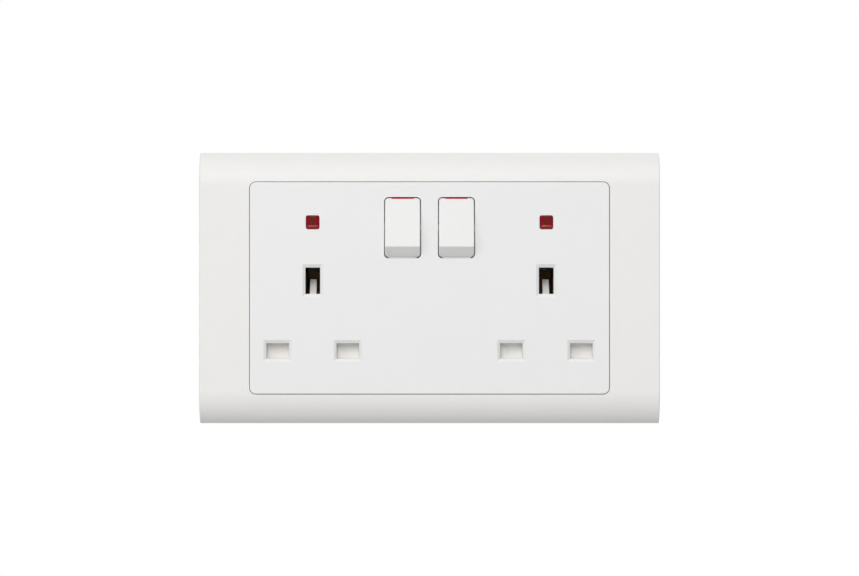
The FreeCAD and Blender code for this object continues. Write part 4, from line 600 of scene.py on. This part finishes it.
def turned_screw():
    """Tree: a turned screw on each point, head first, with a slot or a cross cut into its head."""
    tree, enter, leave = geometry_tree("turned_screw", SCREW_SIZES)
    columns = math_node(tree, "ADD", enter["Around"], 1)
    sheet = add(tree, "GeometryNodeMeshGrid", {"Size X": 1.0, "Size Y": 1.0, "Vertices X": columns,
                                               "Vertices Y": enter["Rows"]})
    place = add(tree, "ShaderNodeSeparateXYZ", {0: add(tree, "GeometryNodeInputPosition").outputs[0]})
    round_share = math_node(tree, "ADD", place.outputs["X"], 0.5)
    down_share = math_node(tree, "ADD", place.outputs["Y"], 0.5)

    def outline_at(walk):
        """The outline after a walk of this length."""
        node = add(tree, "GeometryNodeGroup", node_tree=outline_group)
        for label in OUTLINE_SIZES:
            tree.links.new(enter[label], node.inputs[label])
        tree.links.new(walk, node.inputs["Walk"])
        return node.outputs

    whole = outline_at(down_share)["Whole"]
    walk = math_node(tree, "MULTIPLY", down_share, whole)
    edge = math_node(tree, "MINIMUM", enter["Edge"], walk)
    edge = math_node(tree, "MINIMUM", edge, math_node(tree, "SUBTRACT", whole, walk))
    before = outline_at(math_node(tree, "SUBTRACT", walk, edge))
    after = outline_at(math_node(tree, "ADD", walk, edge))
    out = math_node(tree, "MULTIPLY", math_node(tree, "ADD", before["Out"], after["Out"]), 0.5)
    into = math_node(tree, "MULTIPLY", math_node(tree, "ADD", before["In"], after["In"]), 0.5)

    top = math_node(tree, "ADD", enter["Head Height"], enter["Neck Length"])
    tip = math_node(tree, "ADD", top, enter["Thread Length"])
    turns = math_node(tree, "DIVIDE", into, enter["Pitch"])
    phase = math_node(tree, "FRACT", math_node(tree, "SUBTRACT", turns, round_share))
    valley = math_node(tree, "SUBTRACT", math_node(tree, "MULTIPLY", phase, 2.0), 1.0)
    valley = math_node(tree, "ABSOLUTE", valley)
    begun = math_node(tree, "DIVIDE", math_node(tree, "SUBTRACT", into, top), enter["Pitch"], clamp=True)
    left = math_node(tree, "DIVIDE", math_node(tree, "SUBTRACT", tip, into), enter["Pitch"], clamp=True)
    ripple = math_node(tree, "MULTIPLY", valley, begun)
    ripple = math_node(tree, "MAXIMUM", ripple, math_node(tree, "SUBTRACT", begun, left))
    cut = math_node(tree, "MULTIPLY", ripple, enter["Thread Depth"])
    radius = math_node(tree, "MAXIMUM", math_node(tree, "SUBTRACT", out, cut), 0.0)
    angle = math_node(tree, "MULTIPLY", round_share, math.tau)
    spun = add(tree, "ShaderNodeCombineXYZ", {
        "X": math_node(tree, "MULTIPLY", radius, math_node(tree, "COSINE", angle)),
        "Y": math_node(tree, "MULTIPLY", radius, math_node(tree, "SINE", angle)), "Z": into})
    turned = add(tree, "GeometryNodeSetPosition", {"Geometry": sheet.outputs[0], "Position": spun.outputs[0]})
    closed = add(tree, "GeometryNodeMergeByDistance", {"Geometry": turned.outputs[0], "Distance": MERGE})

    drive = add(tree, "GeometryNodeMeshBoolean", operation="DIFFERENCE", solver="EXACT")
    tree.links.new(closed.outputs[0], drive.inputs["Mesh 1"])
    deep = math_node(tree, "MULTIPLY", enter["Drive Depth"], 2.0)
    for long, wide in (("Drive Length", "Drive Width"), ("Drive Width", "Cross Length")):
        size = add(tree, "ShaderNodeCombineXYZ", {"X": enter[long], "Y": enter[wide], "Z": deep})
        bar = add(tree, "GeometryNodeMeshCube", {"Size": size.outputs[0]})
        tree.links.new(bar.outputs[0], drive.inputs["Mesh 2"])
    twist = add(tree, "FunctionNodeRandomValue", {2: 0.0, 3: math.tau, "Seed": enter["Seed"]},
                data_type="FLOAT")
    return close_tree(tree, enter, leave, drive.outputs[0], twist.outputs[1])


screw_tree = turned_screw()
print("screw tree:", len(screw_tree.nodes), "nodes")

# %% Fixing, case and terminal screws
INWARDS = -math.pi / 2
OUTWARDS = math.pi / 2
TERMINALS = {"N": -13.5, "E_left": -4.5, "E_right": 4.5, "L": 13.5}
TERMINAL_LEVEL = -24.85
BACK = 19.0
CASE_SCREWS = [(49.0, 25.6), (49.0, -2.9), (9.0, -16.6)]

fixing_mesh = bake(
    "fixing_screws_turned", screw_tree, [(-60.3, -5.2, 0.0), (60.3, -5.2, 0.0)], finish=zinc_steel,
    head_radius=3.0, head_height=2.2, neck_radius=1.5, neck_length=3.0, thread_radius=1.75,
    thread_length=20.0, pitch=0.6, thread_depth=0.3, edge=0.35, drive_length=7.0, cross_length=0.8,
    drive_width=0.8, drive_depth=0.9, lean=INWARDS, seed=3, around=28, rows=300)
case_places = [(side * x, 18.8, z) for x, z in CASE_SCREWS for side in SIDES.values()]
case_mesh = bake(
    "case_screws_turned", screw_tree, case_places, finish=zinc_steel, head_radius=2.2, head_height=1.3,
    neck_radius=1.05, neck_length=4.0, thread_radius=1.25, thread_length=18.1, pitch=1.0, thread_depth=0.25,
    edge=0.25, drive_length=2.8, cross_length=2.8, drive_width=0.7, drive_depth=0.8, lean=OUTWARDS, seed=5,
    around=24, rows=220)
terminal_mesh = bake(
    "terminal_screws_turned", screw_tree, [(x, BACK, TERMINAL_LEVEL) for x in TERMINALS.values()],
    finish=brass, head_radius=2.6, head_height=1.8, neck_radius=1.6, neck_length=0.1, thread_radius=1.8,
    thread_length=2.2, pitch=0.7, thread_depth=0.3, edge=0.2, drive_length=6.0, cross_length=3.4,
    drive_width=0.8, drive_depth=0.8, lean=OUTWARDS, seed=8, around=28, rows=100)
finished_piece("fixing_screws_turned", fixing_mesh, "base", "zinc_steel", "fixing_screws")
finished_piece("case_screws_turned", case_mesh, "base", "zinc_steel", "case_screws")
finished_piece("terminal_screws_turned", terminal_mesh, "base", "brass", "terminal_screws")

# %% [markdown]
# ## Springs
# A spring under each shutter lifts it again when the plug is pulled out, and a smaller one behind each
# plunger makes the switch snap. Both are drawn wire with closed ends: the first and last turn lie flat, so
# the spring stands square. A plain spiral has the same climb all along, so here the height follows three
# stretches, slow at both ends.

# %% Tree of a coil spring
SPRING_SIZES = {"Radius": 1.4, "Wire": 0.4, "Length": 8.9, "Turns": 6.5, "Closed": 1.0, "Lean": 0.0,
                "Steps": 168, "Around": 10}


def coil_spring():
    """Tree: a compression spring with closed ends, standing on each point."""
    tree, enter, leave = geometry_tree("coil_spring", SPRING_SIZES)
    line = add(tree, "GeometryNodeCurvePrimitiveLine")
    path = add(tree, "GeometryNodeResampleCurve", {"Curve": line.outputs[0], "Count": enter["Steps"]})
    share = add(tree, "GeometryNodeSplineParameter").outputs["Factor"]
    flat = math_node(tree, "DIVIDE", enter["Closed"], enter["Turns"])
    first = math_node(tree, "DIVIDE", share, flat, clamp=True)
    far = math_node(tree, "SUBTRACT", math_node(tree, "ADD", share, flat), 1.0)
    last = math_node(tree, "DIVIDE", far, flat, clamp=True)
    open_share = math_node(tree, "SUBTRACT", 1.0, math_node(tree, "MULTIPLY", flat, 2.0))
    middle = math_node(tree, "DIVIDE", math_node(tree, "SUBTRACT", share, flat), open_share, clamp=True)
    slow = math_node(tree, "MULTIPLY", enter["Wire"], enter["Closed"])
    ends = math_node(tree, "MULTIPLY", slow, 2.0)
    rise = math_node(tree, "SUBTRACT", enter["Length"], enter["Wire"])
    rise = math_node(tree, "SUBTRACT", rise, ends)
    height = math_node(tree, "MULTIPLY", slow, math_node(tree, "ADD", first, last))
    height = math_node(tree, "ADD", height, math_node(tree, "MULTIPLY", rise, middle))
    half = math_node(tree, "MULTIPLY", enter["Wire"], 0.5)
    angle = math_node(tree, "MULTIPLY", math_node(tree, "MULTIPLY", share, enter["Turns"]), math.tau)
    wound = add(tree, "ShaderNodeCombineXYZ", {
        "X": math_node(tree, "MULTIPLY", enter["Radius"], math_node(tree, "COSINE", angle)),
        "Y": math_node(tree, "MULTIPLY", enter["Radius"], math_node(tree, "SINE", angle)),
        "Z": math_node(tree, "ADD", height, half)})
    coil = add(tree, "GeometryNodeSetPosition", {"Geometry": path.outputs[0], "Position": wound.outputs[0]})
    ring = add(tree, "GeometryNodeCurvePrimitiveCircle", {"Resolution": enter["Around"], "Radius": half})
    wire = add(tree, "GeometryNodeCurveToMesh", {"Curve": coil.outputs[0], "Profile Curve": ring.outputs[0],
                                                 "Fill Caps": True})
    return close_tree(tree, enter, leave, wire.outputs[0])


spring_tree = coil_spring()
print("spring tree:", len(spring_tree.nodes), "nodes")

# %% Shutter and plunger springs
TILT = math.radians(7)
SHUTTER_SPRING = {"foot": -13.15, "length": 8.9, "travel": 5.8}
PLUNGER_SPRING = {"start": -0.55, "length": 4.9, "travel": 0.6}
ROCKER_AXIS = Vector((8.53, -6.5, 19.1))
PLUNGER_WAY = Vector((0.0, math.cos(TILT), -math.sin(TILT)))


for side, sign in SIDES.items():
    seat = Vector((sign * SOCKET_X / MM, -3.6, SHUTTER_SPRING["foot"]))
    mesh = bake(f"{side}_shutter_coil", spring_tree, [seat], finish=spring_steel, radius=1.4, wire=0.4,
                length=SHUTTER_SPRING["length"], turns=6.5, closed=1.2)
    coil = finished_piece(f"{side}_shutter_coil", mesh, "base", "spring_steel", f"{side}_shutter_spring")
    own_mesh(coil)
    pivot = Vector((sign * ROCKER_AXIS.x, ROCKER_AXIS.y, ROCKER_AXIS.z))
    seat = pivot + PLUNGER_WAY * PLUNGER_SPRING["start"]
    mesh = bake(f"{side}_plunger_coil", spring_tree, [seat], finish=spring_steel, radius=1.05, wire=0.3,
                length=PLUNGER_SPRING["length"], turns=6.5, closed=1.0, lean=-(math.pi / 2 + TILT))
    coil = finished_piece(f"{side}_plunger_coil", mesh, f"{side}_rocker", "spring_steel",
                          f"{side}_plunger_spring")
    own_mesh(coil)

# %% [markdown]
# ## Indicator lenses
# Each lens is a small block of clear red plastic, pushed into its window from behind until its flange
# stops it. Its front has a low step near the foot that catches the light as a fine line, and the lens colour
# paints that line as a highlight too. The block is built face by face, and bevels round its corners and
# edges. A bevelled cube would lack the step and the flange. A bevel makes its faces in another order on each
# run, so the mesh is written out again in order of place.

# %% Red lenses
LENS_HALF = (2.1, 2.15)
LENS_FLANGE = 1.0
LENS_DEPTHS = {"back": -5.8, "flange": -6.7, "upper": -9.48, "front": -9.62}
STEP_HALF = 0.08
LENS_CORNER = 0.6
LENS_EDGE = 0.07
LENS_RIM_ANGLE = math.radians(20)


def ordered_mesh(name, bm):
    """The same shape with its points and faces in order of place, so that each run gives the same mesh."""
    places = {vertex: tuple(round(value, 9) for value in vertex.co) for vertex in bm.verts}
    points = sorted(places.values())
    numbers = {point: index for index, point in enumerate(points)}
    faces = []
    for face in bm.faces:
        ring = [numbers[places[vertex]] for vertex in face.verts]
        start = ring.index(min(ring))
        faces.append(ring[start:] + ring[:start])
    mesh = bpy.data.meshes.new(name)
    mesh.from_pydata(points, [], sorted(faces))
    return mesh


def lens_mesh(name, middle):
    """A lens as one closed mesh: flange, body, and a front with a step across it."""
    bm = bmesh.new()

    def loop(half_x, low, high, depth):
        corners = [(-half_x, low), (half_x, low), (half_x, high), (-half_x, high)]
        return [bm.verts.new((middle + x, depth, LENS_LEVEL + z)) for x, z in corners]

    half_x, half_z = LENS_HALF
    wide, tall = half_x + LENS_FLANGE, half_z + LENS_FLANGE
    back = loop(wide, -tall, tall, LENS_DEPTHS["back"])
    shoulder = loop(wide, -tall, tall, LENS_DEPTHS["flange"])
    root = loop(half_x, -half_z, half_z, LENS_DEPTHS["flange"])
    low = loop(half_x, -half_z, LENS_STEP - STEP_HALF, LENS_DEPTHS["front"])
    high = loop(half_x, LENS_STEP + STEP_HALF, half_z, LENS_DEPTHS["upper"])
    bm.faces.new(back)
    for near, far in ((back, shoulder), (shoulder, root)):
        for index in range(4):
            following = (index + 1) % 4
            bm.faces.new([near[index], near[following], far[following], far[index]])
    bm.faces.new([low[0], low[1], low[2], low[3]])
    bm.faces.new([high[0], high[1], high[2], high[3]])
    bm.faces.new([low[3], low[2], high[1], high[0]])
    bm.faces.new([root[0], root[1], low[1], low[0]])
    bm.faces.new([root[2], root[3], high[3], high[2]])
    bm.faces.new([root[1], root[2], high[2], high[1], low[2], low[1]])
    bm.faces.new([root[3], root[0], low[0], low[3], high[0], high[3]])
    bmesh.ops.recalc_face_normals(bm, faces=bm.faces)
    upright = [edge for edge in bm.edges
               if {vertex for vertex in edge.verts} in ({root[0], low[0]}, {root[1], low[1]},
                                                       {root[2], high[2]}, {root[3], high[3]})]
    bmesh.ops.bevel(bm, geom=upright, offset=LENS_CORNER, segments=5, profile=0.5, affect="EDGES")
    limit = LENS_DEPTHS["upper"] + 0.01
    rim = [edge for edge in bm.edges if all(vertex.co.y < limit for vertex in edge.verts)
           and edge.calc_face_angle(0.0) > LENS_RIM_ANGLE]
    bmesh.ops.bevel(bm, geom=rim, offset=LENS_EDGE, segments=3, profile=0.5, affect="EDGES",
                    clamp_overlap=True)
    bmesh.ops.recalc_face_normals(bm, faces=bm.faces)
    bmesh.ops.scale(bm, vec=(MM, MM, MM), verts=bm.verts)
    mesh = ordered_mesh(name, bm)
    bm.free()
    mesh.materials.append(lens_material)
    mesh.shade_smooth()
    mesh.set_sharp_from_angle(angle=SHARP)
    return mesh


for side, sign in SIDES.items():
    mesh = lens_mesh(f"{side}_lens_moulding", sign * SOCKET_X / MM)
    finished_piece(f"{side}_lens_moulding", mesh, "base", "lens_red", f"{side}_neon_lens")

# %% [markdown]
# ## Lamp electrodes
# Two nickel rods stand in each lamp, one above the other, and they darken the middle of the lens, along with
# the painted shade in the lens colour. They lean together a little behind the tip and meet their leads at the
# back. A NURBS curve with a round bevel gives that slow bend from five points.

# %% Electrodes
ROD_RADIUS = 0.32
ROD_ROUTE = [(4.0, 0.9), (2.4, 0.9), (1.2, 0.6), (-1.0, 0.55), (-3.2, 0.6)]


def smooth_wires(name, routes, radius, finish):
    """Round wires along smooth routes, all in one mesh."""
    curve = bpy.data.curves.new(name, "CURVE")
    curve.dimensions = "3D"
    curve.bevel_depth = radius * MM
    curve.bevel_resolution = 3
    curve.use_fill_caps = True
    for route in routes:
        spline = curve.splines.new("NURBS")
        spline.points.add(len(route) - 1)
        for point, place in zip(spline.points, route):
            point.co = (*[value * MM for value in place], 1.0)
        spline.order_u = 3
        spline.use_endpoint_u = True
        spline.resolution_u = 8
    carrier = bpy.data.objects.new(name + "_carrier", curve)
    bpy.context.scene.collection.objects.link(carrier)
    mesh = bpy.data.meshes.new_from_object(carrier.evaluated_get(bpy.context.evaluated_depsgraph_get()))
    bpy.data.objects.remove(carrier)
    bpy.data.curves.remove(curve)
    mesh.name = name
    close_seams(mesh)
    mesh.materials.clear()
    mesh.materials.append(finish)
    mesh.shade_smooth()
    mesh.set_sharp_from_angle(angle=SHARP)
    return mesh


def close_seams(mesh):
    """Merge double points, and turn all faces outwards."""
    bm = bmesh.new()
    bm.from_mesh(mesh)
    bmesh.ops.remove_doubles(bm, verts=bm.verts, dist=MERGE * MM)
    bmesh.ops.recalc_face_normals(bm, faces=bm.faces)
    bm.to_mesh(mesh)
    bm.free()


for side, sign in SIDES.items():
    x = sign * SOCKET_X / MM
    rods = [[(x, depth, LENS_LEVEL + up * apart) for depth, apart in ROD_ROUTE] for up in (1, -1)]
    mesh = smooth_wires(f"{side}_lamp_electrodes", rods, ROD_RADIUS, spring_steel)
    finished_piece(f"{side}_lamp_electrodes", mesh, "base", "spring_steel")

# %% [markdown]
# ## Marks on the back
# The back of the housing tells the fitter where the wires go: N for neutral, E for the two earths and L for
# live, raised in the moulding above the terminals. The pins that push the moulding out of its tool leave
# fine rings. Both are geometry, so they keep their light and shade from every side.

# %% Terminal letters
LETTER_HEIGHT = 3.2
LETTER_RISE = 0.25
LETTER_EDGE = 0.04
CAPITAL_SHARE = 0.7
LETTER_LEVEL = -19.6
FACING_BACK = Matrix(((-1, 0, 0, 0), (0, 0, 1, 0), (0, 1, 0, 0), (0, 0, 0, 1)))


def letter_mesh(letter, x):
    """One raised letter on the back, its foot a little inside the wall."""
    text = bpy.data.curves.new("letter", "FONT")
    text.body = letter
    text.size = LETTER_HEIGHT / CAPITAL_SHARE * MM
    text.align_x = "CENTER"
    text.extrude = LETTER_RISE * MM
    text.bevel_depth = LETTER_EDGE * MM
    text.resolution_u = 4
    carrier = bpy.data.objects.new("letter_carrier", text)
    bpy.context.scene.collection.objects.link(carrier)
    mesh = bpy.data.meshes.new_from_object(carrier.evaluated_get(bpy.context.evaluated_depsgraph_get()))
    bpy.data.objects.remove(carrier)
    bpy.data.curves.remove(text)
    mesh.transform(Matrix.Translation(Vector((x, BACK, LETTER_LEVEL)) * MM) @ FACING_BACK)
    return mesh


letters = bpy.data.meshes.new("terminal_letters")
bm = bmesh.new()
for name, x in TERMINALS.items():
    bm.from_mesh(letter_mesh(name[0], x))
bm.to_mesh(letters)
bm.free()
close_seams(letters)
letters.materials.append(housing_white)
finished_piece("terminal_letters", letters, "base", "housing_white")

# %% Ejector rings
RING_SIZES = {"Ring": 2.0, "Bead": 0.09, "Lean": 0.0, "Around": 48, "Bead Around": 8}
EJECTORS = [(25.0, 22.0), (25.0, 2.0), (44.0, -22.0), (0.0, 24.0)]


def ejector_ring():
    """Tree: a fine raised ring on each point."""
    tree, enter, leave = geometry_tree("ejector_ring", RING_SIZES)
    path = add(tree, "GeometryNodeCurvePrimitiveCircle", {"Resolution": enter["Around"],
                                                          "Radius": enter["Ring"]})
    bead = add(tree, "GeometryNodeCurvePrimitiveCircle", {"Resolution": enter["Bead Around"],
                                                          "Radius": enter["Bead"]})
    ring = add(tree, "GeometryNodeCurveToMesh", {"Curve": path.outputs[0], "Profile Curve": bead.outputs[0]})
    return close_tree(tree, enter, leave, ring.outputs[0])


ring_places = [(side * x, BACK, z) for x, z in EJECTORS for side in ((1, -1) if x else (1,))]
ring_mesh = bake("ejector_rings", ejector_ring(), ring_places, finish=housing_white, ring=2.1, bead=0.09,
                 lean=OUTWARDS)
finished_piece("ejector_rings", ring_mesh, "base", "housing_white")
